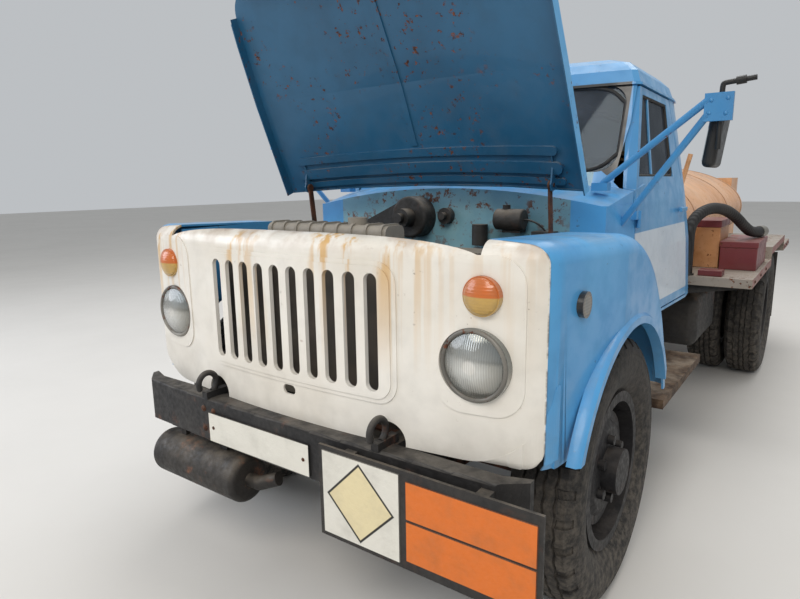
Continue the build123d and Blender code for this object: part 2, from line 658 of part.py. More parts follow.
def headlamps():
    pieces = []
    for side in (-1, 1):
        x = side * HEADLAMP_X
        face = -640.0
        rim = rod((x, face - 10, HEADLAMP_Z), (x, face + 22, HEADLAMP_Z), HEADLAMP_RADIUS)
        rim += rod((x, face + 20, HEADLAMP_Z), (x, face + 48, HEADLAMP_Z), HEADLAMP_RADIUS - 16)
        lens = Pos(x, face + 150, HEADLAMP_Z) * Sphere(186.0)
        lens &= rod((x, face - 60, HEADLAMP_Z), (x, face, HEADLAMP_Z), HEADLAMP_RADIUS - 14)
        pieces.append(rim + lens)
    return pieces


def signal_lamps():
    pieces = []
    for side in (-1, 1):
        x = side * SIGNAL_X
        face = -640.0
        base = rod((x, face - 12, SIGNAL_Z), (x, face + 20, SIGNAL_Z), SIGNAL_RADIUS)
        dome = Pos(x, face + 55, SIGNAL_Z) * Sphere(87.0)
        dome &= rod((x, face - 60, SIGNAL_Z), (x, face, SIGNAL_Z), SIGNAL_RADIUS - 4)
        pieces.append(base + dome)
        wall = side * (FENDER_HALF_WIDTH - 60)
        tip = side * (FENDER_HALF_WIDTH - 2)
        pieces.append(rod((wall, -430, 1160), (tip, -430, 1160), 38.0) - front_end_solid(-SEAT_GAP))
    return pieces


def bumper():
    low = BUMPER_LOW_Z
    high = BUMPER_TOP_Z
    front = ThreePointArc((-800, -722), (0, -745), (800, -722))
    back = Polyline((800, -722), (875, -665), (875, -640), (790, -668), (-790, -668), (-875, -640),
                    (-875, -665), (-800, -722))
    beam = extrude(Plane.XY.offset(low) * make_face(Curve() + [front, back]), high - low)
    front_edges = [edge for edge in beam.edges() if edge.geom_type == GeomType.CIRCLE]
    beam = fillet(front_edges, BUMPER_EDGE_RADIUS)
    beam -= block(-780, 780, -712, -600, low + 10, high - 10)
    for side in (-1, 1):
        x = side * 400
        beam += block(x - 25, x + 25, -715, RAIL_FRONT_Y, low + 20, high - 20)
    return beam


def tow_hooks():
    """Two round-bar hooks that rise behind the bumper and curl forward over it."""
    hooks = []
    for x in (-HOOK_X, HOOK_X):
        path = ThreePointArc((x, -712, 730), (x, -728, 806), (x, -764, 752))
        hook = sweep(Plane(origin=path @ 0, z_dir=path % 0) * Circle(HOOK_BAR), path=path)
        hook += Pos(*(path @ 1)) * Sphere(HOOK_BAR)
        hooks.append(hook + block(x - 14, x + 14, -745, -640, BUMPER_TOP_Z + SEAT_GAP, 735))
    return hooks


def sign_board():
    plate = block(-385, 135, -752, -745 - SEAT_GAP, 549, 661)
    board = block(205, 960, -775, -765, 385, 695)
    fields = block(222, 520, -778, -775, 400, 680) + block(545, 945, -778, -775, 415, 540)
    fields += block(545, 945, -778, -775, 548, 665)
    back = block(300, 340, -765, -742.2, 600, 690) + block(760, 800, -765, -724.6, 600, 690)
    return [plate, board + back, *fields.solids()]


def muffler():
    z = 400.0
    y = -686.0
    body = rod((-760, y, z), (-250, y, z), 92.0)
    body = fillet(body.edges().filter_by(GeomType.CIRCLE), 22.0)
    bend = (-196, y, z)
    body += rod((-250.5, y, z), bend, 26.0) + Pos(*bend) * Sphere(26.0)
    body += rod(bend, (-118, y + 26, z + 30), 26.0)
    body += rod((-810, y, z), (-759.5, y, z), 26.0)
    for x in (-640, -380):
        body += block(x - 15, x + 15, y - 10, y + 10, z + 85, BUMPER_LOW_Z)
    return body


def hood_solid(inset):
    """The shut hood as a crowned solid, drawn in by an inset."""
    # station, half width, edge height, crown height
    table = [
        (HOOD_REAR_Y - inset, HOOD_REAR_HALF_WIDTH, 1400.0, 1478.0),
        (-150.0, 722.0, 1372.0, 1446.0),
        (HOOD_FRONT_Y + inset, HOOD_FRONT_HALF_WIDTH, 1352.0, 1372.0),
    ]
    sections = []
    for station, half_width, edge, crown in table:
        half = half_width - inset
        arc = ThreePointArc((-half, edge - inset), (0, crown - inset), (half, edge - inset))
        low = edge - 45.0 - inset
        rest = Polyline((half, edge - inset), (half, low), (-half, low), (-half, edge - inset))
        plane = Plane(origin=(0, station, 0), x_dir=(1, 0, 0), z_dir=(0, -1, 0))
        sections.append(plane * make_face(Curve() + [arc, rest]))
    return loft(sections, ruled=True)


def opened(shape):
    return turn_about_x(shape, HOOD_TURN_Y, HOOD_TURN_Z, -HOOD_OPEN_ANGLE)


def hood_rib(station, half_length, width, depth):
    """A pressed cross rib under the hood's skin, round at both ends."""
    plane = Plane.XY.offset(1250)
    column = extrude(plane * Pos(0, station) * SlotOverall(2 * half_length, width), 300)
    return column & (hood_solid(HOOD_SKIN - 0.5) - hood_solid(HOOD_SKIN + depth))


def hood_panel():
    """The hood's skin with its side flanges, inner ribs and centre crease, drawn shut."""
    shell = hood_solid(0.0) - hood_solid(HOOD_SKIN)
    open_half = HOOD_REAR_HALF_WIDTH - HOOD_SKIN
    shell -= block(-open_half, open_half, HOOD_FRONT_Y - 60, HOOD_REAR_Y + 60, 1280, 1316)
    mouth = [(-open_half, 1280), (open_half, 1280), (open_half, 1393), (400, 1446), (0, 1469), (-400, 1446),
             (-open_half, 1393)]
    shell -= prism_y(mouth, HOOD_REAR_Y - 8, HOOD_REAR_Y + 1)
    for station, half_length, width, depth in HOOD_RIBS:
        shell += hood_rib(station, half_length, width, depth)
    crease = prism_y([(-14, 1250), (14, 1250), (14, 1550), (-14, 1550)], HOOD_FRONT_Y + 60, HOOD_RIBS[0][0] - 30)
    shell += crease & (hood_solid(HOOD_SKIN - 0.5) - hood_solid(HOOD_SKIN + 5))
    radius = HOOD_CORNER_RADIUS
    edge = HOOD_FRONT_HALF_WIDTH + 3
    corner = block(edge - radius, edge + 60, HOOD_FRONT_Y - 1, HOOD_FRONT_Y + radius, 1200, 1600)
    corner -= rod((edge - radius, HOOD_FRONT_Y + radius, 1190), (edge - radius, HOOD_FRONT_Y + radius, 1610), radius)
    return shell - both(corner)


def link_point(reach, turned):
    """A point at a reach from the hood's turning centre, turned on from the shut hood's link head."""
    angle = math.radians(LINK_HEAD_ANGLE - turned)
    return HOOD_TURN_Y + reach * math.cos(angle), HOOD_TURN_Z + reach * math.sin(angle)


def hood_brackets():
    """Ears under the hood that the links' pins pass through, drawn on the shut hood."""
    y, z = link_point(LINK_HEAD_REACH, 0.0)
    x0 = LINK_X + LINK_PLATE / 2 + 4
    ear = prism_x([(y - 22, z - 12), (y - 12, z - 22), (y + 12, z - 22), (y + 20, z - 12), (y + 20, z + 18),
                   (y - 90, z + 34), (y - 110, z + 34)], x0, x0 + 6)
    foot = block(x0, x0 + 6, y - 110, y + 20, z + 4, z + 60)
    ear += foot & (hood_solid(4.0) - hood_solid(12.0))
    ear &= hood_solid(4.0)
    ear -= rod((x0 - 30, y, z), (x0 + 30, y, z), LINK_PIN_RADIUS + RUNNING_GAP)
    return ear


def hood_links():
    """The two swinging links in the open pose, each with its pin and the bar beside it."""
    foot = link_point(LINK_FOOT_REACH, HOOD_OPEN_ANGLE / 2)
    head = link_point(LINK_HEAD_REACH, HOOD_OPEN_ANGLE)
    x0 = LINK_X - LINK_PLATE / 2
    x1 = LINK_X + LINK_PLATE / 2
    link = rod((x0, *foot), (x1, *foot), 20.0) + rod((x0, *head), (x1, *head), 18.0)
    link += prism_x([(foot[0] - 13, foot[1]), (foot[0] + 13, foot[1]), (head[0] + 13, head[1]),
                     (head[0] - 13, head[1])], x0, x1)
    link += rod((x0, *head), (x1 + 12, *head), LINK_PIN_RADIUS)
    link -= rod((x0 - 1, *foot), (x1 + 1, *foot), LINK_PIN_RADIUS + RUNNING_GAP)
    return both(link)


def hood_post():
    """The post on the left inner wing that the link's foot turns on."""
    y, z = link_point(LINK_FOOT_REACH, HOOD_OPEN_ANGLE / 2)
    x0 = LINK_X + LINK_PLATE / 2 + 4
    wall = 744.0
    post = rod((LINK_X - LINK_PLATE / 2 - 6, y, z), (x0 + 6, y, z), LINK_PIN_RADIUS)
    post += block(x0, x0 + 6, y - 22, y + 22, z - 70, z + 16)
    post += block(x0, wall, y - 22, y + 22, z - 76, z - 70)
    return post


# Cab

def cab_solid(inset, ahead=0.0):
    """The cab's outer form without the scuttle, drawn in by an inset, with its front moved ahead."""
    # height, front arc middle and ends, half widths at front, door front, door rear and rear
    table = [
        (CAB_BOTTOM_Z + inset, CAB_FRONT_Y, CAB_FRONT_Y, 738.0, 794.0, 838.0, 826.0),
        (1180.0, CAB_FRONT_Y, CAB_FRONT_Y, 741.0, 786.0, 818.0, 808.0),
        (BELT_Z, CAB_FRONT_Y, CAB_FRONT_Y, 742.0, 776.0, 790.0, 776.0),
    ]
    upper = [
        (BELT_Z, 410.0, 560.0, 738.0, 776.0, 790.0, 776.0),
        (EAVES_Z, 650.0, 728.0, 700.0, 722.0, 700.0, 682.0),
    ]
    # the same columns, then how far the rear wall is drawn ahead
    crown = [
        (EAVES_Z, 650.0, 728.0, 700.0, 722.0, 700.0, 682.0, 0.0),
        (1966.0 - 0.3 * inset, 670.0, 746.0, 682.0, 703.0, 682.0, 664.0, 14.0),
        (2006.0 - 0.7 * inset, 704.0, 780.0, 638.0, 658.0, 638.0, 621.0, 44.0),
        (2033.0 - inset, 764.0, 838.0, 556.0, 574.0, 558.0, 542.0, 104.0),
        (ROOF_TOP_Z - inset, 862.0, 930.0, 426.0, 442.0, 428.0, 416.0, 204.0),
    ]

    def section(height, mid_y, end_y, w0, w1, w2, w3, rear_shift=0.0):
        end_y -= ahead
        mid_y -= ahead
        front = ThreePointArc((-w0 + inset, end_y + inset), (0, mid_y + inset - 0.1), (w0 - inset, end_y + inset))
        rear = CAB_REAR_Y - inset - rear_shift
        sides = Polyline(
            (w0 - inset, end_y + inset), (w1 - inset, max(DOOR_FRONT_Y, end_y + 20)), (w2 - inset, DOOR_REAR_Y),
            (w3 - inset, rear - 70), (w3 - inset - 90, rear), (-w3 + inset + 90, rear), (-w3 + inset, rear - 70),
            (-w2 + inset, DOOR_REAR_Y), (-w1 + inset, max(DOOR_FRONT_Y, end_y + 20)), (-w0 + inset, end_y + inset))
        return Plane.XY.offset(height) * make_face(Curve() + [front, sides])

    lower = loft([section(*row) for row in table], ruled=True)
    house = loft([section(*row) for row in upper], ruled=True)
    roof = loft([section(*row) for row in crown], ruled=True)
    return lower + house + roof


def scuttle_solid(inset):
    """The bulge between the hood's rear edge and the windscreen."""
    # station, half width, edge height, crown height
    table = [
        (CAB_FRONT_Y + inset, 742.0, 1396.0, 1474.0),
        (700.0, 780.0, 1480.0, 1560.0),
    ]
    sections = []
    for station, half_width, edge, crown in table:
        half = half_width - inset
        arc = ThreePointArc((-half, edge - inset), (0, crown - inset), (half, edge - inset))
        rest = Polyline((half, edge - inset), (half, 1300.0), (-half, 1300.0), (-half, edge - inset))
        plane = Plane(origin=(0, station, 0), x_dir=(1, 0, 0), z_dir=(0, -1, 0))
        sections.append(plane * make_face(Curve() + [arc, rest]))
    return loft(sections, ruled=True)


def toe_cut():
    """The sloping toe board: what is cut off the cab's lower front corner."""
    return prism_x([(CAB_FRONT_Y - 10, 700), (620, 700), (620, CAB_BOTTOM_Z - 1), (560, CAB_BOTTOM_Z - 1),
                    (CAB_FRONT_Y - 10, 1010)], -900, 900)


def toe_board():
    """What lies below the inner face of the floor's sloping front."""
    return prism_x([(CAB_FRONT_Y - 10, 700), (640, 700), (640, CAB_BOTTOM_Z + 20), (570, CAB_BOTTOM_Z + 20),
                    (CAB_FRONT_Y - 10, 1040)], -900, 900)


def seat_riser():
    """The pressed box on the cab's floor that the bench stands on, open at its back."""
    riser = block(-600, 600, 985, 1500, CAB_BOTTOM_Z + 19, SEAT_BOTTOM_Z - SEAT_GAP)
    return riser - block(-590, 590, 995, 1501, CAB_BOTTOM_Z + 21, SEAT_BOTTOM_Z - 10)


def door_outline(gap):
    """Side outline of the left door as (y, z) points, drawn out by a gap."""
    return [
        (DOOR_FRONT_Y - gap, DOOR_BOTTOM_Z - gap), (DOOR_REAR_Y + gap, DOOR_BOTTOM_Z - gap),
        (DOOR_REAR_Y + gap, 1480.0), (1350.0 + gap, DOOR_TOP_Z + gap), (742.0 - gap, DOOR_TOP_Z + gap),
        (DOOR_FRONT_Y - gap, 1490.0),
    ]


def window_outline(gap=0.0):
    """Side outline of the door's window as (y, z) points, drawn out by a gap."""
    return [(650.0 - gap, SILL_Z - gap), (1262.0 + gap, SILL_Z - gap), (1262.0 + gap, 1862.0 + gap),
            (776.0 - gap, 1862.0 + gap)]


def rounded_window(plane, width, height, radius, depth):
    return extrude(plane * RectangleRounded(width, height, radius), depth)


def build_cab():
    outer = cab_solid(0.0) + scuttle_solid(0.0)
    inner = cab_solid(CAB_WALL) + scuttle_solid(CAB_WALL)
    inner = inner & block(-900, 900, CAB_FRONT_Y + 12, 2000, CAB_BOTTOM_Z + 20, 2200)
    outer -= toe_cut()
    inner -= toe_board()
    shell = outer - inner
    gutter = block(-900, 900, 0, 2000, EAVES_Z - 14, EAVES_Z - 4)
    shell += gutter & (cab_solid(-GUTTER_REACH) - cab_solid(2.0))
    frame = prism_x(door_outline(DOOR_GAP), 500, 1000)
    hole = frame + flip(frame)
    shell -= hole
    screen_plane = Plane(origin=(0, 0, SCREEN_Z), x_dir=(1, 0, 0), z_dir=(0, -1, 0))
    screen = Pos(0, 790, 0) * rounded_window(screen_plane, SCREEN_WIDTH, SCREEN_HEIGHT, SCREEN_RADIUS, 500)
    rear_plane = Plane(origin=(0, 1500, 1715), x_dir=(1, 0, 0), z_dir=(0, 1, 0))
    rear = rounded_window(rear_plane, 900, 290, 60, 300)
    shell -= screen
    shell -= rear
    split = block(-1000, 1000, 0, DOOR_FRONT_Y - DOOR_GAP, 600, 1560)
    cowl = shell & split
    cab = shell - split + seat_riser()
    glass = (cab_solid(8.0) - cab_solid(8.0 + GLASS))
    glass_screen = glass & screen
    glass_rear = glass & rear
    door_form = prism_x(door_outline(0.0), 500, 1000)
    window = prism_x(window_outline(), 500, 1000)
    room = cab_solid(DOOR_THICKNESS, 260.0)
    skin = (outer & door_form) - room - Pos(0, 0, -DOOR_THICKNESS) * room
    door = skin - window
    pane = (cab_solid(12.0) - cab_solid(12.0 + GLASS)) & window
    vent_post = prism_x(VENT_POST, 500, 1000)
    door += vent_post & (cab_solid(6.0) - cab_solid(28.0)) & prism_x(window_outline(2.0), 500, 1000)
    pane -= vent_post
    handle_y, handle_z = DOOR_HANDLE
    grip_x = DOOR_REAR_HALF_WIDTH + 24
    handle = rod((DOOR_REAR_HALF_WIDTH - 24, handle_y, handle_z), (grip_x, handle_y, handle_z), 11.0)
    lever = block(grip_x - 7, grip_x + 6, handle_y - 112, handle_y + 14, handle_z - 11, handle_z + 11)
    door += handle + fillet(lever.edges().filter_by(Axis.Y), 5.0)
    for low in HINGE_HEIGHTS:
        pin = (HINGE_PIN_X, HINGE_PIN_Y)
        mid = low + HINGE_HALF
        high = low + 2 * HINGE_HALF
        cowl_barrel = rod((*pin, mid + RUNNING_GAP), (*pin, high), HINGE_RADIUS)
        cowl_barrel += block(pin[0] - 30, pin[0] + 2, DOOR_FRONT_Y - 44, DOOR_FRONT_Y - DOOR_GAP, mid + RUNNING_GAP, high)
        cowl_barrel += block(pin[0] - 10, pin[0] + 2, DOOR_FRONT_Y - 10, pin[1], mid + RUNNING_GAP, high)
        cowl_barrel += rod((*pin, low), (*pin, high), HINGE_BORE)
        room = block(pin[0] - 20, pin[0] + 20, pin[1] - 26, pin[1] + 16, mid - 3, high + 3)
        barrel = rod((*pin, low), (*pin, mid), HINGE_RADIUS)
        barrel += block(pin[0] - 14, pin[0] + 2, pin[1], pin[1] + 30, low, mid)
        barrel -= rod((*pin, low - 1), (*pin, mid + 1), HINGE_BORE + RUNNING_GAP)
        door -= room
        door -= rod((*pin, low - 1), (*pin, mid + 1), HINGE_BORE + RUNNING_GAP)
        door += barrel
        clear = block(pin[0] - 20, pin[0] + 20, pin[1] - 14, pin[1] + 16, low - 3, mid)
        cowl -= both(clear)
        cowl_barrel = both(cowl_barrel)
        cowl += cowl_barrel
    return outer, cowl, cab, [glass_screen, glass_rear], door, pane


def cushion(x0, x1, y0, y1, z0, z1, radius):
    solid = block(x0, x1, y0, y1, z0, z1)
    return fillet(solid.edges(), radius)


def bench_seat():
    base = cushion(-620, 620, 960, 1400, SEAT_BOTTOM_Z, 1230, 30)
    back = cushion(-620, 620, 1400.3, 1530, 1150, 1640, 30)
    return [base, back]


def dashboard():
    panel = block(-680, 680, 600, 700, 1330, 1440) + block(-640, 640, 500, 601, 1400, 1560)
    return panel & (cab_solid(CAB_WALL + SEAT_GAP) + scuttle_solid(CAB_WALL + SEAT_GAP))


def steering_wheel():
    hub = (-360.0 * -1, 820.0, 1400.0)
    plane = Plane(origin=hub, z_dir=(0, 0.55, 0.84))
    wheel = plane * Torus(210.0, 14.0)
    wheel += plane * Pos(0, 0, -20) * Cylinder(40.0, 44.0)
    for index in range(3):
        spoke = rod((0, 0, -6), (208, 0, 0), 10.0)
        wheel += plane * spoke.rotate(Axis.Z, 90 + index * 120)
    return wheel


def steering_column():
    hub = Vector(360.0, 820.0, 1400.0)
    direction = Vector(0, 0.55, 0.84).normalized()
    top = hub - direction * (42 + RUNNING_GAP)
    foot = hub - direction * 600
    return rod(tuple(foot), tuple(top), 24.0) - Pos(0, 0, SEAT_GAP) * toe_board()


# Tank and rear body

def tank_solid():
    section = Plane(origin=(0, TANK_REAR_Y, TANK_CENTRE_Z), x_dir=(1, 0, 0), z_dir=(0, -1, 0))
    body = extrude(section * Ellipse(TANK_HALF_WIDTH, TANK_HALF_HEIGHT), TANK_REAR_Y - TANK_FRONT_Y)
    body = fillet(body.edges(), 60.0)
    for station in TANK_SEAMS:
        seam = Plane(origin=(0, station + SEAM_WIDTH / 2, TANK_CENTRE_Z), x_dir=(1, 0, 0), z_dir=(0, -1, 0))
        body += extrude(seam * Ellipse(TANK_HALF_WIDTH + SEAM_HEIGHT, TANK_HALF_HEIGHT + SEAM_HEIGHT), SEAM_WIDTH)
    return body


def tank_bearers():
    pieces = []
    for station in (1960.0, 3060.0, 4160.0):
        saddle = block(-RAIL_OUTER_X, RAIL_OUTER_X, station - 40, station + 40, RAIL_TOP_REAR, 1000)
        section = Plane(origin=(0, station + 60, TANK_CENTRE_Z), x_dir=(1, 0, 0), z_dir=(0, -1, 0))
        hollow = extrude(section * Ellipse(TANK_HALF_WIDTH + SEAT_GAP, TANK_HALF_HEIGHT + SEAT_GAP), 120)
        pieces.append(saddle - hollow)
    return pieces


def manhole_lid():
    """The round lid with its hinge eye and grip."""
    y = MANHOLE_Y
    lid = rod((0, y, MANHOLE_TOP_Z + SEAT_GAP), (0, y, MANHOLE_TOP_Z + 16), MANHOLE_RADIUS + 6)
    lid += rod((0, y, MANHOLE_TOP_Z + 15), (0, y, MANHOLE_TOP_Z + 34), MANHOLE_RADIUS - 60)
    axis_y = y + MANHOLE_HINGE_REACH
    lid += block(-28, 28, y + MANHOLE_RADIUS - 10, axis_y, MANHOLE_TOP_Z + 2, MANHOLE_TOP_Z + 16)
    lid += rod((-28, axis_y, MANHOLE_TOP_Z + 9), (28, axis_y, MANHOLE_TOP_Z + 9), 10.0)
    lid -= rod((-30, axis_y, MANHOLE_TOP_Z + 9), (30, axis_y, MANHOLE_TOP_Z + 9), 5.0 + RUNNING_GAP)
    lid += block(-60, 60, y - 240, y - 226, MANHOLE_TOP_Z + 15, MANHOLE_TOP_Z + 40)
    return lid


def tank_fittings():
    """The manhole neck with its hinge lugs, the hose riser and the grab pipe at the front."""
    y = MANHOLE_Y
    axis_y = y + MANHOLE_HINGE_REACH
    section = Plane(origin=(0, TANK_REAR_Y, TANK_CENTRE_Z), x_dir=(1, 0, 0), z_dir=(0, -1, 0))
    body = extrude(section * Ellipse(TANK_HALF_WIDTH + SEAT_GAP, TANK_HALF_HEIGHT + SEAT_GAP), 2640)
    collar = rod((0, y, TANK_CENTRE_Z + 200), (0, y, MANHOLE_TOP_Z), MANHOLE_RADIUS)
    collar -= rod((0, y, TANK_CENTRE_Z + 300), (0, y, MANHOLE_TOP_Z + 1), MANHOLE_RADIUS - 12)
    for side in (-1, 1):
        collar += block(side * 38 - 7, side * 38 + 7, y + MANHOLE_RADIUS - 12, axis_y + 12, MANHOLE_TOP_Z - 60,
                        MANHOLE_TOP_Z - 4)
        collar += block(side * 38 - 7, side * 38 + 7, y + MANHOLE_RADIUS + 9, axis_y + 12, MANHOLE_TOP_Z - 5,
                        MANHOLE_TOP_Z + 19)
    collar += rod((-44, axis_y, MANHOLE_TOP_Z + 9), (44, axis_y, MANHOLE_TOP_Z + 9), 5.0)
    collar -= block(-31, 31, y + MANHOLE_RADIUS - 5, axis_y + 20, MANHOLE_TOP_Z + 20, MANHOLE_TOP_Z + 30)
    collar -= body
    riser = rod((HOSE_START[0], HOSE_START[1], DECK_Z), HOSE_START, HOSE_RADIUS)
    riser += rod((HOSE_START[0], HOSE_START[1], DECK_Z), (HOSE_START[0], HOSE_START[1], DECK_Z + 10), 42.0)
    grab = rod((640, 2060, 1400), (692, 2080, 1648), 14.0) - body
    return [*collar.solids(), riser, *grab.solids()]


def hose():
    """The loose delivery hose: straight runs joined by arcs as large as the runs allow."""
    points = [Vector(*point) for point in HOSE_ROUTE]
    radii = []
    for before, corner, after in zip(points, points[1:], points[2:]):
        first = corner - before
        second = after - corner
        half_turn = math.radians(first.get_angle(second)) / 2
        radii.append(0.45 * min(first.length, second.length) / math.tan(half_turn))
    print("hose radii", [round(radius) for radius in radii])
    path = FilletPolyline(*[tuple(point) for point in points], radius=radii)
    section = Plane(origin=path @ 0, z_dir=path % 0) * Circle(HOSE_RADIUS)
    tube = sweep(section, path=path)
    print("hose volume ratio", round(tube.volume / (math.pi * HOSE_RADIUS ** 2 * path.length), 4),
          "length", round(path.length))
    return tube


def hose_coupling():
    """The ring coupling on the hose's free end."""
    end = Vector(*HOSE_ROUTE[-1])
    run = (end - Vector(*HOSE_ROUTE[-2])).normalized()
    ring = rod(tuple(end), tuple(end + run * 60), HOSE_RADIUS + 3)
    return ring


def side_deck():
    plates = block(DECK_INNER_X, DECK_HALF_WIDTH, DECK_FRONT_Y, HUMP_FRONT_Y, DECK_Z - DECK_PLATE, DECK_Z)
    plates += block(DECK_INNER_X, DECK_HALF_WIDTH, HUMP_REAR_Y, DECK_REAR_Y, DECK_Z - DECK_PLATE, DECK_Z)
    plates += block(HUMP_INNER_X, DECK_HALF_WIDTH, HUMP_FRONT_Y, HUMP_REAR_Y, HUMP_Z - DECK_PLATE, HUMP_Z)
    for y in (HUMP_FRONT_Y, HUMP_REAR_Y - DECK_PLATE):
        plates += block(HUMP_INNER_X, DECK_HALF_WIDTH, y, y + DECK_PLATE, DECK_Z - DECK_RIM, HUMP_Z)
    rim = DECK_HALF_WIDTH - DECK_PLATE
    plates += block(rim, DECK_HALF_WIDTH, DECK_FRONT_Y, HUMP_FRONT_Y, DECK_Z - DECK_RIM, DECK_Z)
    plates += block(rim, DECK_HALF_WIDTH, HUMP_REAR_Y, DECK_REAR_Y, DECK_Z - DECK_RIM, DECK_Z)
    plates += block(rim, DECK_HALF_WIDTH, HUMP_FRONT_Y, HUMP_REAR_Y, HUMP_Z - DECK_RIM, HUMP_Z)
    plates += block(DECK_INNER_X, DECK_HALF_WIDTH, DECK_FRONT_Y, DECK_FRONT_Y + DECK_PLATE, DECK_Z - DECK_RIM, DECK_Z)
    return plates


# Engine bay

def engine_block():
    """The closed engine and gearbox as one plain block with its valve covers."""
    engine = block(-250, 250, -350, 285, 590, 1080)
    for side in (-1, 1):
        cover = prism_y([(side * 140, 1079), (side * 330, 990), (side * 360, 1060), (side * 200, 1170),
                         (side * 130, 1150)], -330, 240)
        engine += cover
    engine += block(-90, 90, -160, 160, 1079, 1190)
    engine += rod((0, 60, 1180), (0, 60, 1230), 60.0)
    engine += rod((0, -392, 860), (0, -349, 860), 120.0)
    engine += prism_x([(200, 600), (328, 540), (328, 690), (200, 800)], -120, 120)
    for side in (-1, 1):
        engine += block(side * 300 - 70, side * 300 + 70, -60, 40, 700, 725)
    return engine


def radiator():
    """The core between its side frames, with a ribbed top tank and filler cap."""
    core = block(-290, 290, -480, -410, 760, 1290)
    top = block(-280, 280, -500, -395, 1290, 1362)
    top = fillet(top.edges().filter_by(Axis.X), 24.0)
    for index in range(9):
        x = -260 + index * 65
        rib = block(x - 5, x + 5, -504, -391, 1290.5, 1368)
        top += fillet(rib.edges().filter_by(Axis.X), 26.0)
    low = block(-280, 280, -490, -400, 700, 760)
    body = core + top + low
    body += rod((120, -447, 1360), (120, -447, 1386), 34.0)
    for side in (-1, 1):
        body += block(side * 300 - 12, side * 300 + 12, -500, -390, 720, 1300)
        body += block(side * 345 - 45, side * 345 + 45, -470, -420, RAIL_TOP_FRONT + SEAT_GAP, 740)
    return body


def heater_blower():
    """The round fan housing on the firewall, its motor in front and its duct to one side."""
    y = CAB_FRONT_Y
    centre = (-130.0, 1345.0)
    drum = rod((centre[0], y - 90, centre[1]), (centre[0], y - SEAT_GAP, centre[1]), 95.0)
    drum = fillet(drum.edges().filter_by(GeomType.CIRCLE).sort_by(Axis.Y)[0], 14.0)
    drum += rod((centre[0], y - 150, centre[1]), (centre[0], y - 85, centre[1]), 42.0)
    drum += rod((centre[0], y - 176, centre[1]), (centre[0], y - 150, centre[1]), 22.0)
    duct = prism_y([(centre[0], centre[1] + 94), (-420, 1310), (-420, 1235), (centre[0] - 80, centre[1] - 50)],
                   y - 80, y - 10)
    return drum + duct


def firewall_fittings():
    """Small units on the engine side of the firewall."""
    y = CAB_FRONT_Y
    motor = rod((305, y - 60, 1345), (430, y - 60, 1345), 44.0)
    motor = fillet(motor.edges().filter_by(GeomType.CIRCLE), 8.0)
    motor += rod((350, y - 60, 1380), (350, y - 60, 1405), 16.0)
    motor += block(330, 410, y - 60, y - SEAT_GAP, 1290, 1320)
    cup = rod((30, y - 34, 1352), (30, y - SEAT_GAP, 1352), 36.0) + rod((30, y - 60, 1352), (30, y - 30, 1352), 16.0)
    bottle = rod((215, y - 40, 1230), (215, y - 40, 1320), 34.0) + block(205, 225, y - 40, y - SEAT_GAP, 1250, 1290)
    tray = block(300, 560, y - 90, y - SEAT_GAP, 1228, 1240) + block(470, 560, y - 80, y - 20, 1240, 1300)
    return [motor, cup, bottle, tray]


# Cab fittings and outside fittings

def running_boards():
    step = block(660, 935, 600, 1440, 556, 562)
    step += block(660, 935, 594, 600, 520, 562) + block(660, 935, 1434, 1440, 520, 562)
    step += block(929, 935, 594, 1440, 520, 562)
    for y in (800.0, 1250.0):
        step += block(RAIL_OUTER_X + SEAT_GAP, 700, y - 20, y + 20, 516, 556)
        step += block(RAIL_OUTER_X + SEAT_GAP, RAIL_OUTER_X + 12, y - 20, y + 20, 516, 690)
    return both(step)


def mirror_arms():
    """The left mirror's two tubes, from the scuttle and from the cowl's side to one clamp."""
    low, high = MIRROR_CLAMP_Z
    upper = rod(MIRROR_TOP_FOOT, (MIRROR_X - 34, MIRROR_Y, high - 22), MIRROR_TUBE)
    lower = rod(MIRROR_SIDE_FOOT, (MIRROR_X - 34, MIRROR_Y, low + 22), MIRROR_TUBE)
    clamp = block(MIRROR_X - 45, MIRROR_X + 45, MIRROR_Y - 9, MIRROR_Y + 9, low, high)
    foot = block(MIRROR_TOP_FOOT[0] - 38, MIRROR_TOP_FOOT[0] + 26, MIRROR_TOP_FOOT[1] - 24, MIRROR_TOP_FOOT[1] + 24,
                 MIRROR_TOP_FOOT[2] - 30, MIRROR_TOP_FOOT[2] + 2)
    return upper + lower + clamp + foot


def mirror_head():
    """The left mirror's narrow head below the clamp, folded in, with its bent bar above."""
    low, high = MIRROR_CLAMP_Z
    shell = Box(150, 62, 235)
    shell = fillet(shell.edges(), 14.0)
    middle = (MIRROR_X + 2, MIRROR_Y + 118, low - 78)
    head = Pos(*middle) * Rotation(0, 0, MIRROR_FOLD_ANGLE) * shell
    bar_y = MIRROR_Y + 9 + SEAT_GAP + MIRROR_BAR
    head += rod((MIRROR_X + 4, bar_y, low - 120), (MIRROR_X + 4, bar_y, high + 32), MIRROR_BAR)
    head += rod((MIRROR_X + 4, bar_y, low - 60), (MIRROR_X + 4, MIRROR_Y + 118, low - 60), MIRROR_BAR - 1)
    head += Pos(MIRROR_X + 4, bar_y, high + 32) * Sphere(MIRROR_BAR)
    head += rod((MIRROR_X + 4, bar_y, high + 32), (MIRROR_X + 105, bar_y, high + 42), MIRROR_BAR)
    head += rod((MIRROR_X + 45, bar_y, high + 36), (MIRROR_X + 75, bar_y, high + 39), MIRROR_BAR + 5)
    return head


def tail_lamps():
    pieces = []
    for side in (-1, 1):
        x = side * 760
        pieces.append(block(x - 70, x + 70, REAR_REACH - 40 + SEAT_GAP, REAR_REACH, 650, 740))
    return pieces


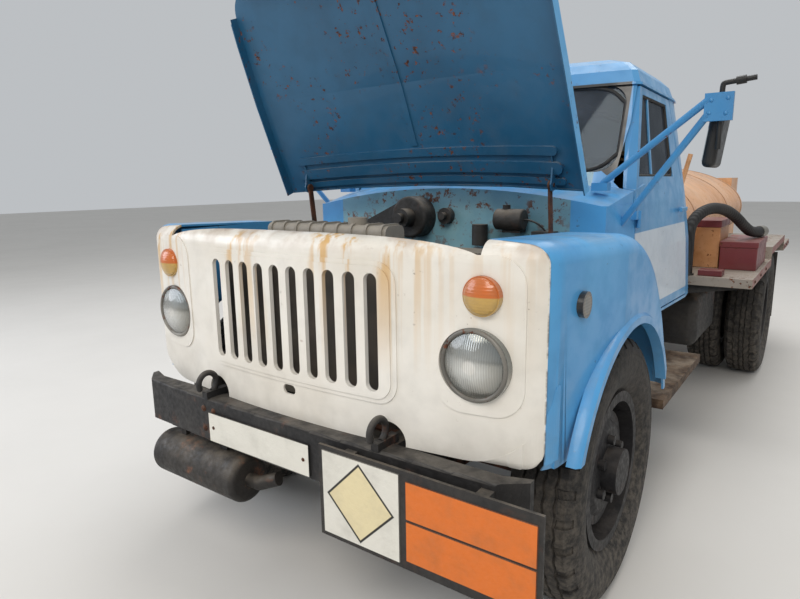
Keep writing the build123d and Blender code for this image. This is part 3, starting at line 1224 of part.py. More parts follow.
def rear_bumper():
    """The rear cross beam with the tow jaw at its middle."""
    beam = block(-900, 900, RAIL_REAR_Y + SEAT_GAP, REAR_REACH - 40, 625, 765)
    for low in (672.0, 716.0):
        beam += block(-45, 45, REAR_REACH - 41, REAR_REACH, low, low + 14)
    beam -= rod((0, TOW_BORE_Y, 660), (0, TOW_BORE_Y, 740), TOW_BORE_RADIUS)
    return beam


def fuel_tank():
    drum = cushion(470, 830, 1900, 2560, 470, 800, 60)
    for y in (2030.0, 2430.0):
        drum += block(RAIL_OUTER_X + SEAT_GAP, 480, y - 25, y + 25, 640, 775)
    drum += rod((780, 2230, 770), (860, 2230, 850), 40.0)
    return drum


def mudflaps():
    flap = block(650, 1085, 3880, 3888, 330, DECK_Z - DECK_RIM - 20)
    flap += block(RAIL_OUTER_X + SEAT_GAP, 1085, 3876, 3895 - SEAT_GAP, DECK_Z - DECK_RIM - 60, DECK_Z - DECK_RIM - 20)
    return both(flap)


def deck_boxes():
    tan = block(790, 985, 1990, 2230, DECK_Z, 1096) + block(780, 995, 1980, 2240, 1096, 1122)
    chest = block(840, 1070, 2300, 2580, DECK_Z, 1085) + block(830, 1080, 2290, 2590, 1085, 1122)
    return [tan, chest]


def outriggers():
    """Cross beams over the frame rails that carry the side decks."""
    pieces = []
    for station in (1740.0, 2700.0, 3920.0, 4390.0):
        high = DECK_Z - DECK_PLATE - SEAT_GAP
        beam = prism_y([(-RAIL_OUTER_X, RAIL_TOP_REAR), (RAIL_OUTER_X, RAIL_TOP_REAR), (DECK_HALF_WIDTH - 30, high - 50),
                        (DECK_HALF_WIDTH - 30, high), (DECK_INNER_X, high), (RAIL_OUTER_X, RAIL_TOP_REAR + 70),
                        (-RAIL_OUTER_X, RAIL_TOP_REAR + 70), (-DECK_INNER_X, high), (-DECK_HALF_WIDTH + 30, high),
                        (-DECK_HALF_WIDTH + 30, high - 50)], station - 25, station + 25)
        pieces.append(beam)
    return pieces


# Rear cabinet

def cabinet():
    body = block(-CABINET_HALF_WIDTH, CABINET_HALF_WIDTH, CABINET_FRONT_Y, CABINET_REAR_Y, CABINET_BOTTOM_Z,
                 CABINET_TOP_Z)
    wall = CABINET_WALL
    body -= block(-CABINET_HALF_WIDTH + wall, CABINET_HALF_WIDTH - wall, CABINET_FRONT_Y + wall, CABINET_REAR_Y + 1,
                  CABINET_BOTTOM_Z + wall, CABINET_TOP_Z - wall)
    body += block(-RAIL_OUTER_X, RAIL_OUTER_X, CABINET_FRONT_Y + 60, CABINET_FRONT_Y + 120, RAIL_TOP_REAR,
                  CABINET_BOTTOM_Z + 1)
    body += block(-RAIL_OUTER_X, RAIL_OUTER_X, CABINET_REAR_Y - 120, CABINET_REAR_Y - 60, RAIL_TOP_REAR,
                  CABINET_BOTTOM_Z + 1)
    for side in (-1, 1):
        x = side * CABINET_HINGE_X
        axis_y = CABINET_REAR_Y + 7
        for low in (CABINET_BOTTOM_Z + 100, CABINET_TOP_Z - 160):
            body += rod((x, axis_y, low - 3), (x, axis_y, low + 56), 3.0)
            body += rod((x, axis_y, low + 28 + RUNNING_GAP), (x, axis_y, low + 56), 6.5)
            near, far = sorted((x, side * (CABINET_HALF_WIDTH - 4)))
            body += block(near, far, CABINET_REAR_Y - 0.5, axis_y + 3, low + 28 + RUNNING_GAP, low + 56)
    return body


def cabinet_door():
    """The left leaf, inside the cabinet's mouth, with its hinge barrels."""
    wall = CABINET_WALL
    leaf = block(4, CABINET_HALF_WIDTH - wall - 6, CABINET_REAR_Y - 18, CABINET_REAR_Y, CABINET_BOTTOM_Z + wall + 6,
                 CABINET_TOP_Z - wall - 6)
    axis_x = CABINET_HINGE_X
    axis_y = CABINET_REAR_Y + 7
    for low in (CABINET_BOTTOM_Z + 100, CABINET_TOP_Z - 160):
        leaf += rod((axis_x, axis_y, low), (axis_x, axis_y, low + 28), 6.5)
        leaf += block(axis_x - 20, axis_x, CABINET_REAR_Y - 4, axis_y + 3, low, low + 28)
        leaf -= rod((axis_x, axis_y, low - 1), (axis_x, axis_y, low + 29), 3.0 + RUNNING_GAP)
    leaf += block(60, 80, CABINET_REAR_Y - 1, CABINET_REAR_Y + 18, 1120, 1220)
    return leaf


def manifold():
    """The pump casing and outlet pipe inside the cabinet."""
    y = (CABINET_FRONT_Y + CABINET_REAR_Y) / 2
    base = CABINET_BOTTOM_Z + CABINET_WALL
    pump = rod((-150, y, 1010), (60, y, 1010), 120.0)
    pump += block(-120, 30, y - 90, y + 90, base, 960)
    pump += rod((-45, y, 1100), (-45, y, 1300), 40.0)
    pump += rod((-45, y, FLANGE_Z), (FLANGE_X - 10, y, FLANGE_Z), 40.0) + Pos(-45, y, 1300) * Sphere(40.0)
    pump += rod((FLANGE_X - FLANGE_THICKNESS, y, FLANGE_Z), (FLANGE_X, y, FLANGE_Z), FLANGE_RADIUS)
    pump -= rod((FLANGE_X - OUTLET_DEPTH, y, FLANGE_Z), (FLANGE_X + 1, y, FLANGE_Z), OUTLET_BORE_RADIUS)
    for index in range(FLANGE_HOLES):
        angle = math.radians(45 + index * 360 / FLANGE_HOLES)
        hole_y = y + FLANGE_PITCH / 2 * math.cos(angle)
        hole_z = FLANGE_Z + FLANGE_PITCH / 2 * math.sin(angle)
        pump -= rod((FLANGE_X - FLANGE_THICKNESS - 1, hole_y, hole_z), (FLANGE_X + 1, hole_y, hole_z), FLANGE_HOLE_RADIUS)
    return pump


def build_all():
    os.makedirs("parts", exist_ok=True)
    save("frame_rails", frame_rails())
    save("crossmembers", crossmembers())
    save("front_axle", front_axle())
    save("leaf_springs", leaf_springs())
    save("rear_axle", [rear_axle(), driveshaft()])
    save("bumper", [bumper(), *tow_hooks()])
    save("sign_board", sign_board())
    save("muffler", muffler())
    save("headlamps", headlamps())
    save("signal_lamps", signal_lamps())
    cab_body, cowl, cab, glass, door, pane = build_cab()
    save("cowl", cowl)
    save("cab_shell", cab)
    save("cab_glass", glass)
    shell = front_shell()
    save("nose_panel", nose_panel(shell))
    left = fender(shell, cab_body) + hood_post()
    save("fender_left", left)
    save("fender_right", flip(left))
    for side, name in ((1, "left"), (-1, "right")):
        def placed(shapes):
            return [shape if side > 0 else flip(shape) for shape in solids_of(shapes)]
        save("door_" + name, placed(door))
        save("door_glass_" + name, placed(pane))
        save("knuckle_" + name, knuckle(side))
        save("tyre_front_" + name, placed(tyre_solid(FRONT_TRACK / 2, 0.0)))
        save("wheel_front_" + name, placed(front_rim()))
        save("tyres_rear_" + name, placed(rear_tyres()))
        save("wheels_rear_" + name, placed(rear_rims()))
        save("cabinet_door_" + name, placed(cabinet_door()))
    save("tie_rod", tie_rod())
    skin = hood_panel()
    ears = both(hood_brackets())
    save("hood_panel", opened(skin + ears))
    save("hood_links", hood_links())
    save("engine_block", engine_block())
    save("radiator", radiator())
    save("firewall_units", [heater_blower(), *firewall_fittings()])
    save("bench_seat", bench_seat())
    save("dashboard", [dashboard(), steering_column()])
    save("steering_wheel", steering_wheel())
    save("running_boards", running_boards())
    save("mirrors", both(mirror_arms() - cab_body))
    save("mirror_heads", both(mirror_head()))
    save("tank", tank_solid())
    save("tank_bearers", tank_bearers() + outriggers())
    save("tank_fittings", tank_fittings())
    save("manhole_lid", manhole_lid())
    save("hose", hose())
    save("hose_coupling", hose_coupling())
    save("side_decks", both(side_deck()))
    save("deck_boxes", deck_boxes())
    save("rear_cabinet", cabinet())
    save("manifold", manifold())
    save("mudflaps", mudflaps())
    save("rear_bumper", rear_bumper())
    save("tail_lamps", tail_lamps())
    save("fuel_tank", fuel_tank())


build_all()
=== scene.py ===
"""Look of the tanker truck: materials, tread, seals, trim, seat, hose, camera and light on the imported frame."""
import math

import bmesh
import bpy
from mathutils import Matrix, Vector


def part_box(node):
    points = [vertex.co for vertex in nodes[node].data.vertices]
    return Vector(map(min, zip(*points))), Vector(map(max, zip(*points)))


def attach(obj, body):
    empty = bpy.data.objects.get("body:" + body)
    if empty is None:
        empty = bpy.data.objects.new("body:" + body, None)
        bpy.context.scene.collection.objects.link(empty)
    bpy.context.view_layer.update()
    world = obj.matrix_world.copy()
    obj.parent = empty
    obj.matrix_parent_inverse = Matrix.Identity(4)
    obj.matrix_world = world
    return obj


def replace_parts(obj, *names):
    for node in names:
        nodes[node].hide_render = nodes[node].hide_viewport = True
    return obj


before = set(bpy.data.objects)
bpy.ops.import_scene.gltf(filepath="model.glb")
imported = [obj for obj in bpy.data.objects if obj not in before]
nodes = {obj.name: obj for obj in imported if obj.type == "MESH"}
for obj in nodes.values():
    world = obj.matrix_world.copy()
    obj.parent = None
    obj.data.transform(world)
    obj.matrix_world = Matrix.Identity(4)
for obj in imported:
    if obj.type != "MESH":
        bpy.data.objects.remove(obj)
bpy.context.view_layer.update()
scene = bpy.context.scene

# Stations are metres behind the front axle; the frame's middle lies halfway between the truck's two ends
FRONT_REACH = 0.778
REAR_REACH = 4.9
MIDDLE = (REAR_REACH - FRONT_REACH) / 2


def at(x, station, z):
    """A point from its station behind the front axle, in metres."""
    return Vector((x, station - MIDDLE, z))


# Camera: fitted to the photograph

CAMERA_PLACE = at(1.4685, -2.0593, 1.5013)
CAMERA_YAW = math.radians(36.03)
CAMERA_PITCH = math.radians(-10.99)
CAMERA_ROLL = math.radians(-0.89)
FOCAL_PIXELS = 601.0
forward = Vector((-math.sin(CAMERA_YAW) * math.cos(CAMERA_PITCH), math.cos(CAMERA_YAW) * math.cos(CAMERA_PITCH),
                  math.sin(CAMERA_PITCH)))
level = Vector((math.cos(CAMERA_YAW), math.sin(CAMERA_YAW), 0))
upright = level.cross(forward)
right = level * math.cos(CAMERA_ROLL) + upright * math.sin(CAMERA_ROLL)
up = upright * math.cos(CAMERA_ROLL) - level * math.sin(CAMERA_ROLL)
camera = bpy.data.objects.new("camera", bpy.data.cameras.new("camera"))
camera.data.sensor_width = 36.0
camera.data.lens = FOCAL_PIXELS * 36.0 / 800.0
camera.data.clip_end = 200.0
camera.matrix_world = Matrix.Translation(CAMERA_PLACE) @ Matrix((right, up, -forward)).transposed().to_4x4()
scene.collection.objects.link(camera)
scene.camera = camera

# Materials

NOISE = "ShaderNodeTexNoise"
RANGE = "ShaderNodeMapRange"
MATH = "ShaderNodeMath"
MIX = "ShaderNodeMix"
MAPPING = "ShaderNodeMapping"


def srgb(code):
    """A linear colour from a hex code."""
    values = [int(code[i:i + 2], 16) / 255 for i in (1, 3, 5)]
    linear = [v / 12.92 if v <= 0.04045 else ((v + 0.055) / 1.055) ** 2.4 for v in values]
    return (*linear, 1.0)


def node(tree, kind, inputs, out=0, **settings):
    """Adds one node; an input takes a number, a hex colour or another node's output. Returns one output."""
    made = tree.nodes.new(kind)
    for key, value in settings.items():
        setattr(made, key, value)
    for key, value in inputs.items():
        if isinstance(value, bpy.types.NodeSocket):
            tree.links.new(value, made.inputs[key])
        else:
            made.inputs[key].default_value = srgb(value) if isinstance(value, str) else value
    return made.outputs[out]


def start(name):
    """A new material: its tree and its Object coordinates."""
    material = bpy.data.materials.new(name)
    material.use_nodes = True
    return material, material.node_tree, node(material.node_tree, "ShaderNodeTexCoord", {}, "Object")


def finish(material, colour, rough, bump=None, metal=0.0, coat=0.0, depth=0.001, strength=0.3):
    """Puts a finish on a material's shader: colour, roughness, height, metal and coat."""
    tree = material.node_tree
    shader = tree.nodes["Principled BSDF"]
    values = {"Base Color": colour, "Roughness": rough}
    if bump is not None:
        values["Normal"] = node(tree, "ShaderNodeBump", {"Height": bump, "Strength": strength, "Distance": depth})
    for key, value in values.items():
        if isinstance(value, bpy.types.NodeSocket):
            tree.links.new(value, shader.inputs[key])
        else:
            shader.inputs[key].default_value = srgb(value) if isinstance(value, str) else value
    shader.inputs["Metallic"].default_value = metal
    shader.inputs["Coat Weight"].default_value = coat
    return material


def cloud(tree, place, size, low=0.35, high=0.7, detail=4.0, stretch=(1, 1, 1), shift=(0, 0, 0), rough=0.55):
    """Soft patches of about a size in metres, from 0 to 1 between two levels of the noise."""
    moved = node(tree, MAPPING, {"Vector": place, "Scale": stretch, "Location": shift})
    value = node(tree, NOISE, {"Vector": moved, "Scale": 1.0 / size, "Detail": detail, "Roughness": rough})
    return node(tree, RANGE, {0: value, 1: low, 2: high}, interpolation_type="SMOOTHSTEP")


def between(tree, value, low, high, edge=0.0015):
    """1 where a value lies between two limits, with a thin soft edge."""
    rise = node(tree, RANGE, {0: value, 1: low - edge, 2: low + edge})
    fall = node(tree, RANGE, {0: value, 1: high - edge, 2: high + edge, 3: 1.0, 4: 0.0})
    return node(tree, MATH, {0: rise, 1: fall}, operation="MULTIPLY")


def times(tree, *values):
    """The product of masks and numbers."""
    made = values[0]
    for value in values[1:]:
        made = node(tree, MATH, {0: made, 1: value}, operation="MULTIPLY")
    return made


def over(tree, mask, below, above):
    """A colour laid over another through a mask."""
    return node(tree, MIX, {0: mask, 6: below, 7: above}, 2, data_type="RGBA")


def axes(tree, place):
    """The three coordinates of a place."""
    split = tree.nodes.new("ShaderNodeSeparateXYZ")
    tree.links.new(place, split.inputs[0])
    return split.outputs


def facing(tree, direction):
    """How far a surface faces a direction of the piece's own space."""
    normal = tree.nodes.new("ShaderNodeNewGeometry").outputs["True Normal"]
    turned = node(tree, "ShaderNodeVectorTransform", {0: normal}, vector_type="NORMAL", convert_from="WORLD",
                  convert_to="OBJECT")
    return node(tree, "ShaderNodeVectorMath", {0: turned, 1: direction}, "Value", operation="DOT_PRODUCT")


def old_enamel(name, fresh, faded, rust=0.3, streak=None, streak_top=1.34, dust="#8d8577", dust_top=1.0, chip=0.62,
               rough=0.36, marks=None):
    """Brushed-on enamel on pressed steel, years old: chalky patches, rust in the chips, runs and road dust."""
    material, tree, place = start(name)
    height = axes(tree, place)[2]
    colour = over(tree, cloud(tree, place, 0.43), fresh, faded)
    if marks:
        colour = marks(tree, place, colour)
    colour = over(tree, times(tree, cloud(tree, place, 0.09, 0.4, 0.8), 0.12), colour, "#4a4a46")
    if streak:
        thin = cloud(tree, place, 0.035, 0.46, 0.62, 3.0, (1.0, 1.0, 0.04))
        wide = cloud(tree, place, 0.24, 0.42, 0.58, 2.0, (1.0, 1.0, 0.10), (3.1, 0, 0))
        under = node(tree, RANGE, {0: height, 1: streak_top - 0.42, 2: streak_top})
        inner = node(tree, RANGE, {0: axes(tree, place)[0], 1: 0.42, 2: 0.60, 3: 1.0, 4: 0.25})
        colour = over(tree, times(tree, thin, wide, under, inner), colour, streak)
        lip = times(tree, node(tree, RANGE, {0: height, 1: streak_top - 0.07, 2: streak_top}),
                    cloud(tree, place, 0.11, 0.42, 0.66), 0.55)
        colour = over(tree, lip, colour, "#8a6234")
    low = node(tree, RANGE, {0: height, 1: 0.5, 2: dust_top, 3: 1.0, 4: 0.0})
    colour = over(tree, times(tree, low, cloud(tree, place, 0.14, 0.3, 0.75, 5.0), 0.6), colour, dust)
    up_face = node(tree, RANGE, {0: facing(tree, (0, 0, 1)), 1: 0.5, 2: 0.95})
    colour = over(tree, times(tree, up_face, cloud(tree, place, 0.12, 0.3, 0.7), 0.35), colour, dust)
    # Chips are 5 to 30 mm wide and stand in patches, where water and stones reach the sheet
    chips = times(tree, cloud(tree, place, 0.028, chip, chip + 0.05, 5.0, rough=0.7),
                  cloud(tree, place, 0.3, 0.44, 0.6, 3.0, shift=(0, 7.7, 0)), rust * 2.2)
    brown = over(tree, cloud(tree, place, 0.015), "#3a2015", "#80492a")
    colour = over(tree, chips, colour, brown)
    gloss = node(tree, RANGE, {0: cloud(tree, place, 0.09), 3: rough - 0.05, 4: rough + 0.2})
    gloss = node(tree, MATH, {0: gloss, 1: chips}, operation="ADD", use_clamp=True)
    dents = node(tree, MATH, {0: cloud(tree, place, 0.55, 0.2, 0.8, 2.0), 1: times(tree, chips, 0.25)},
                 operation="SUBTRACT")
    return finish(material, colour, gloss, dents, 0.0, 0.16, 0.004, 0.4)


def worn_black(name, base="#1d1c1c", rust=0.5, edge="#6a4028", dust="#776d60", dusty=0.6, marks=None):
    """Black chassis paint: rust comes through in patches, and dust lies on what faces up."""
    material, tree, place = start(name)
    patch = times(tree, cloud(tree, place, 0.11, 0.56, 0.68, 6.0, rough=0.7), rust)
    colour = over(tree, patch, base, over(tree, cloud(tree, place, 0.025), "#3a2217", edge))
    up_face = node(tree, RANGE, {0: facing(tree, (0, 0, 1)), 1: 0.2, 2: 0.95})
    lies = times(tree, cloud(tree, place, 0.07, 0.25, 0.7), up_face, dusty)
    colour = over(tree, lies, colour, dust)
    colour = over(tree, times(tree, cloud(tree, place, 0.2, 0.35, 0.8), 0.22 * dusty), colour, dust)
    if marks:
        colour = marks(tree, place, colour)
    grain = cloud(tree, place, 0.02, 0.2, 0.8, 5.0)
    return finish(material, colour, node(tree, RANGE, {0: grain, 3: 0.45, 4: 0.8}), grain, 0.0, 0.0, 0.002, 0.45)


def rusted_iron(name, dark="#2b1d17", light="#6b4029", dust="#857a6b", dusty=0.35):
    """Bare rolled or cast iron: fine scale and pits, dark in the lee and red-brown where it stays wet."""
    material, tree, place = start(name)
    colour = over(tree, cloud(tree, place, 0.07, 0.35, 0.68, 6.0, rough=0.7), dark, light)
    up_face = node(tree, RANGE, {0: facing(tree, (0, 0, 1)), 1: 0.0, 2: 0.9})
    colour = over(tree, times(tree, cloud(tree, place, 0.1), up_face, dusty), colour, dust)
    pits = cloud(tree, place, 0.016, 0.2, 0.8, 6.0, rough=0.75)
    return finish(material, colour, node(tree, RANGE, {0: pits, 3: 0.6, 4: 0.92}), pits, 0.3, 0.0, 0.002, 0.6)


def dusty_rubber(name, base="#1d1c1b", dust="#6f675c", share=0.45, ribs=0.0):
    """Moulded black rubber, grey where dust and age dull it; ribs are the cloth wraps' spacing in metres."""
    material, tree, place = start(name)
    colour = over(tree, times(tree, cloud(tree, place, 0.16, 0.3, 0.72, 5.0), share), base, dust)
    grain = cloud(tree, place, 0.012, 0.2, 0.8)
    if ribs:
        along = axes(tree, place)[1]
        wave = node(tree, MATH, {0: times(tree, along, 2 * math.pi / ribs)}, operation="SINE")
        grain = node(tree, MATH, {0: grain, 1: wave}, operation="ADD")
    return finish(material, colour, node(tree, RANGE, {0: grain, 3: 0.6, 4: 0.88}), grain, depth=0.0012)


def tyre_rubber(name, wheel_height):
    """Tyre rubber: dark in the tread's grooves, brown-grey with road dust on the sidewall and lugs."""
    material, tree, place = start(name)
    colour = over(tree, cloud(tree, place, 0.2, 0.3, 0.7, 6.0, rough=0.65), "#111010", "#2a2725")
    low = node(tree, RANGE, {0: axes(tree, place)[2], 1: 0.0, 2: wheel_height, 3: 0.55, 4: 0.1})
    colour = over(tree, times(tree, cloud(tree, place, 0.03, 0.35, 0.7, 5.0, rough=0.7), low), colour, "#7d7468")
    grain = cloud(tree, place, 0.014, 0.2, 0.8, 5.0, rough=0.7)
    return finish(material, colour, node(tree, RANGE, {0: grain, 3: 0.7, 4: 0.93}), grain, depth=0.0015)


def toned(name, colour, rough=0.5, metal=0.0, coat=0.0, grain=0.02, depth=0.0008, dirt="#3c3832", share=0.18):
    """A moulded or sprayed finish with a little tone, grain and dirt of its own."""
    material, tree, place = start(name)
    made = over(tree, times(tree, cloud(tree, place, grain * 6), share), colour, dirt)
    fine = cloud(tree, place, grain, 0.2, 0.8)
    return finish(material, made, node(tree, RANGE, {0: fine, 3: rough * 0.8, 4: min(1.0, rough * 1.25)}), fine,
                  metal, coat, depth, 0.25)


def fluted_glass(name):
    """Pressed lamp glass: upright flutes 7 mm apart, brown where water got in; a painted reflection of the dull
    reflector, bright in the middle with a brighter spot, and painted shade at the edges, over the upper part and in
    stripes along the flutes.
    """
    material, tree, place = start(name)
    x, y, z = axes(tree, place)
    flute = node(tree, MATH, {0: times(tree, x, 2 * math.pi / 0.007)}, operation="SINE")
    side = node(tree, MATH, {0: x}, operation="ABSOLUTE")
    away = node(tree, "ShaderNodeVectorMath", {0: node(tree, "ShaderNodeCombineXYZ", {0: side, 1: 0.0, 2: z}),
                                               1: (0.690, 0.0, 1.0)}, "Value", operation="DISTANCE")
    # Painted reflection and shade: bright in each glass's middle, darker towards its edges and over its upper part,
    # with a painted highlight spot in the middle
    painted_lamp_light = over(tree, node(tree, RANGE, {0: away, 1: 0.03, 2: 0.094}), "#dfe3e2", "#6b706f")
    upper = times(tree, between(tree, z, 1.012, 1.2, 0.02), 0.45)
    painted_lamp_light = over(tree, upper, painted_lamp_light, "#7c817f")
    painted_lamp_light = over(tree, between(tree, away, -1.0, 0.020, 0.004), painted_lamp_light, "#f2f3f0")
    # Painted shade: darker stripes along the flutes
    tone = over(tree, node(tree, RANGE, {0: flute, 1: -1.0, 2: 1.0, 3: 0.35, 4: 0.0}), painted_lamp_light, "#6e7372")
    tone = over(tree, times(tree, cloud(tree, place, 0.12, 0.3, 0.75), 0.35), tone, "#9c8f78")
    return finish(material, tone, 0.10, flute, 0.6, 0.9, 0.0012, 0.4)


def lamp_lens(name, upper, lower, split=None, ring=None):
    """A moulded lens in one or two colours, with prisms 9 mm apart; ring is a side lamp's (station, height)."""
    material, tree, place = start(name)
    x, y, z = axes(tree, place)
    prism = node(tree, MATH, {0: times(tree, z, 2 * math.pi / 0.009)}, operation="SINE")
    colour = upper
    if split:
        colour = over(tree, between(tree, z, split, 2.0), lower, upper)
    if ring:
        centre = at(0, ring[0], ring[1])
        away = node(tree, "ShaderNodeVectorMath", {0: node(tree, "ShaderNodeCombineXYZ", {0: 0.0, 1: y, 2: z}),
                                                   1: centre}, "Value", operation="DISTANCE")
        near = between(tree, away, 0.026, 0.05)
        glass = between(tree, away, -1.0, 0.026)
        colour = over(tree, glass, over(tree, near, colour, "#161616"), "#474c4a")
    colour = over(tree, times(tree, cloud(tree, place, 0.08), 0.35), colour, "#7d6a50")
    return finish(material, colour, 0.28, prism, 0.0, 0.4, 0.001, 0.2)


def dusty_glass(name, tint, dust_low, dust_high):
    """Window glass with dried dust: the cab shows darkly through it."""
    material, tree, place = start(name)
    dust = node(tree, RANGE, {0: cloud(tree, place, 0.2, 0.4, 0.8, 5.0), 3: dust_low, 4: dust_high})
    clear = node(tree, "ShaderNodeBsdfTransparent", {"Color": tint})
    gloss = node(tree, "ShaderNodeBsdfGlossy", {"Color": "#6f767c", "Roughness": 0.05})
    weight = node(tree, MATH, {0: node(tree, "ShaderNodeFresnel", {"IOR": 1.5}), 1: 0.04}, operation="ADD")
    sheen = node(tree, "ShaderNodeMixShader", {0: weight, 1: clear, 2: gloss})
    haze = node(tree, "ShaderNodeBsdfDiffuse", {"Color": "#8f97a3"})
    both = node(tree, "ShaderNodeMixShader", {0: dust, 1: sheen, 2: haze})
    tree.links.new(both, tree.nodes["Material Output"].inputs["Surface"])
    return material


def leathercloth(name):
    """Brown leathercloth: grain pebbles of about 4 mm, drawn coarse enough to show, shiny where it is sat on."""
    material, tree, place = start(name)
    cell = node(tree, "ShaderNodeTexVoronoi", {"Vector": place, "Scale": 240.0}, "Distance")
    colour = over(tree, cloud(tree, place, 0.25), "#4b3327", "#3a271d")
    colour = over(tree, times(tree, cell, 0.3), colour, "#1d120d")
    rough = node(tree, RANGE, {0: cloud(tree, place, 0.2), 3: 0.38, 4: 0.62})
    return finish(material, colour, rough, cell, depth=0.0008, strength=0.35)


# Where marks lie: the nose's seam, the door's white band, the tan box's top, the hood's blue outside, the placards
SEAM = -0.585
BAND_LOW = 0.930
BAND_TOP = 1.276
TAN_TOP = 1.200
OUTSIDE_OF_HOOD = (0.0, 0.934, 0.358)
PLACARD_EDGE = 0.010


def door_band(tree, place, colour):
    """The door's white band, given a darker blue-grey than white paint as painted shade."""
    z = axes(tree, place)[2]
    # Painted shade: the white band is coloured darker and bluer than white
    return over(tree, between(tree, z, BAND_LOW, BAND_TOP), colour,
                over(tree, cloud(tree, place, 0.3), "#c2ccd6", "#afbcc9"))


def hood_outside(tree, place, colour):
    """The hood's outside and side flanges are blue, and its inside stays as it is."""
    x = axes(tree, place)[0]
    outer = node(tree, RANGE, {0: facing(tree, OUTSIDE_OF_HOOD), 1: 0.3, 2: 0.5})
    left = times(tree, node(tree, RANGE, {0: facing(tree, (1, 0, 0)), 1: 0.6, 2: 0.8}), between(tree, x, 0.68, 0.9))
    right_side = times(tree, node(tree, RANGE, {0: facing(tree, (-1, 0, 0)), 1: 0.6, 2: 0.8}),
                       between(tree, x, -0.9, -0.68))
    blue = over(tree, cloud(tree, place, 0.3), "#4a97cd", "#58a4d6")
    for mask in (outer, left, right_side):
        colour = over(tree, mask, colour, blue)
    return colour


def nose_seam(tree, place, colour):
    """Chipped dark line where the cream nose meets the blue fenders."""
    line = between(tree, axes(tree, place)[1], SEAM - MIDDLE - 0.0025, SEAM - MIDDLE + 0.0015)
    return over(tree, times(tree, line, cloud(tree, place, 0.03, 0.38, 0.60), 0.7), colour, "#3b3835")


def firewall_face(tree, place, colour):
    """The scuttle's engine side: grey-teal primer with big rust patches."""
    front = times(tree, node(tree, RANGE, {0: facing(tree, (0, -1, 0)), 1: 0.5, 2: 0.8}),
                  between(tree, axes(tree, place)[0], -0.6, 0.6))
    wall = over(tree, cloud(tree, place, 0.2), "#6a98a8", "#83acb4")
    rust = times(tree, cloud(tree, place, 0.05, 0.53, 0.6, 5.0, rough=0.7), cloud(tree, place, 0.2, 0.4, 0.6))
    return over(tree, front, colour, over(tree, rust, wall, "#6b3c22"))


def tan_box(tree, place, colour):
    """The inner deck box is tan below its red lid."""
    x, y, z = axes(tree, place)
    mask = times(tree, between(tree, x, 0.5, 0.8945), between(tree, y, 2.0 - MIDDLE, 3.0 - MIDDLE),
                 between(tree, z, 0.5, TAN_TOP))
    return over(tree, mask, colour, over(tree, cloud(tree, place, 0.12), "#c08a5c", "#a8703f"))


def seal_around_windows(tree, place, colour):
    """The rubber that holds the windscreen, 14 mm wide on the shell round the opening."""
    x, y, z = axes(tree, place)
    ahead = between(tree, y, -2.0, 0.80 - MIDDLE)
    wide = between(tree, x, -0.697, 0.697)
    tall = between(tree, z, 1.717 - 0.197, 1.717 + 0.197)
    return over(tree, times(tree, ahead, wide, tall), colour, "#1a1a1a")


def placards(tree, place, colour):
    """Blank fields: a white plate, a white field with a pale diamond and two orange fields."""
    x, y, z = axes(tree, place)
    front = node(tree, RANGE, {0: facing(tree, (0, -1, 0)), 1: 0.8, 2: 0.9})
    grime = cloud(tree, place, 0.09, 0.4, 0.8)
    white = over(tree, times(tree, grime, 0.3), "#d9d6cc", "#8d8a80")
    orange = over(tree, times(tree, grime, 0.3), "#d56f28", "#7a5a3c")
    table = [(-0.385, 0.135, 0.549, 0.661, white), (0.222, 0.520, 0.400, 0.680, white),
             (0.545, 0.945, 0.415, 0.540, orange), (0.545, 0.945, 0.548, 0.665, orange)]
    for x0, x1, z0, z1, fill in table:
        colour = over(tree, times(tree, between(tree, x, x0, x1), between(tree, z, z0, z1), front), colour, fill)
    side = node(tree, MATH, {0: node(tree, MATH, {0: x, 1: 0.371}, operation="SUBTRACT")}, operation="ABSOLUTE")
    rise = node(tree, MATH, {0: node(tree, MATH, {0: z, 1: 0.540}, operation="SUBTRACT")}, operation="ABSOLUTE")
    reach = node(tree, MATH, {0: side, 1: rise}, operation="ADD")
    rim = times(tree, between(tree, reach, -1.0, 0.132), front)
    inside = times(tree, between(tree, reach, -1.0, 0.132 - PLACARD_EDGE), front)
    colour = over(tree, rim, colour, "#232120")
    return over(tree, inside, colour, over(tree, times(tree, grime, 0.25), "#ddcfa6", "#8d8a80"))


def deck_edge(tree, place, colour):
    """The deck's edge board is dark red."""
    x = node(tree, MATH, {0: axes(tree, place)[0]}, operation="ABSOLUTE")
    side = node(tree, MATH, {0: facing(tree, (1, 0, 0))}, operation="ABSOLUTE")
    mask = times(tree, between(tree, x, 1.121, 1.2), node(tree, RANGE, {0: side, 1: 0.6, 2: 0.8}))
    return over(tree, mask, colour, "#7a2c24")


def tank_rings(tree, place, colour):
    """Brown water marks where the tank's plates are welded."""
    y = axes(tree, place)[1]
    for station in (2.150, 3.450, 4.280):
        middle = station - MIDDLE
        mark = times(tree, between(tree, y, middle - 0.014, middle + 0.014, 0.004), 0.55)
        stain = times(tree, between(tree, y, middle - 0.07, middle + 0.07, 0.05),
                      cloud(tree, place, 0.12, 0.4, 0.7, 4.0, (1, 1, 0.2)), 0.4)
        colour = over(tree, mark, over(tree, stain, colour, "#8a5a30"), "#7a4c2a")
    x, y, z = axes(tree, place)
    riser = times(tree, between(tree, x, 0.70, 0.86), between(tree, z, 0.90, 1.02),
                  between(tree, y, 1.60 - MIDDLE, 1.84 - MIDDLE))
    return over(tree, riser, colour, "#1d1c1b")


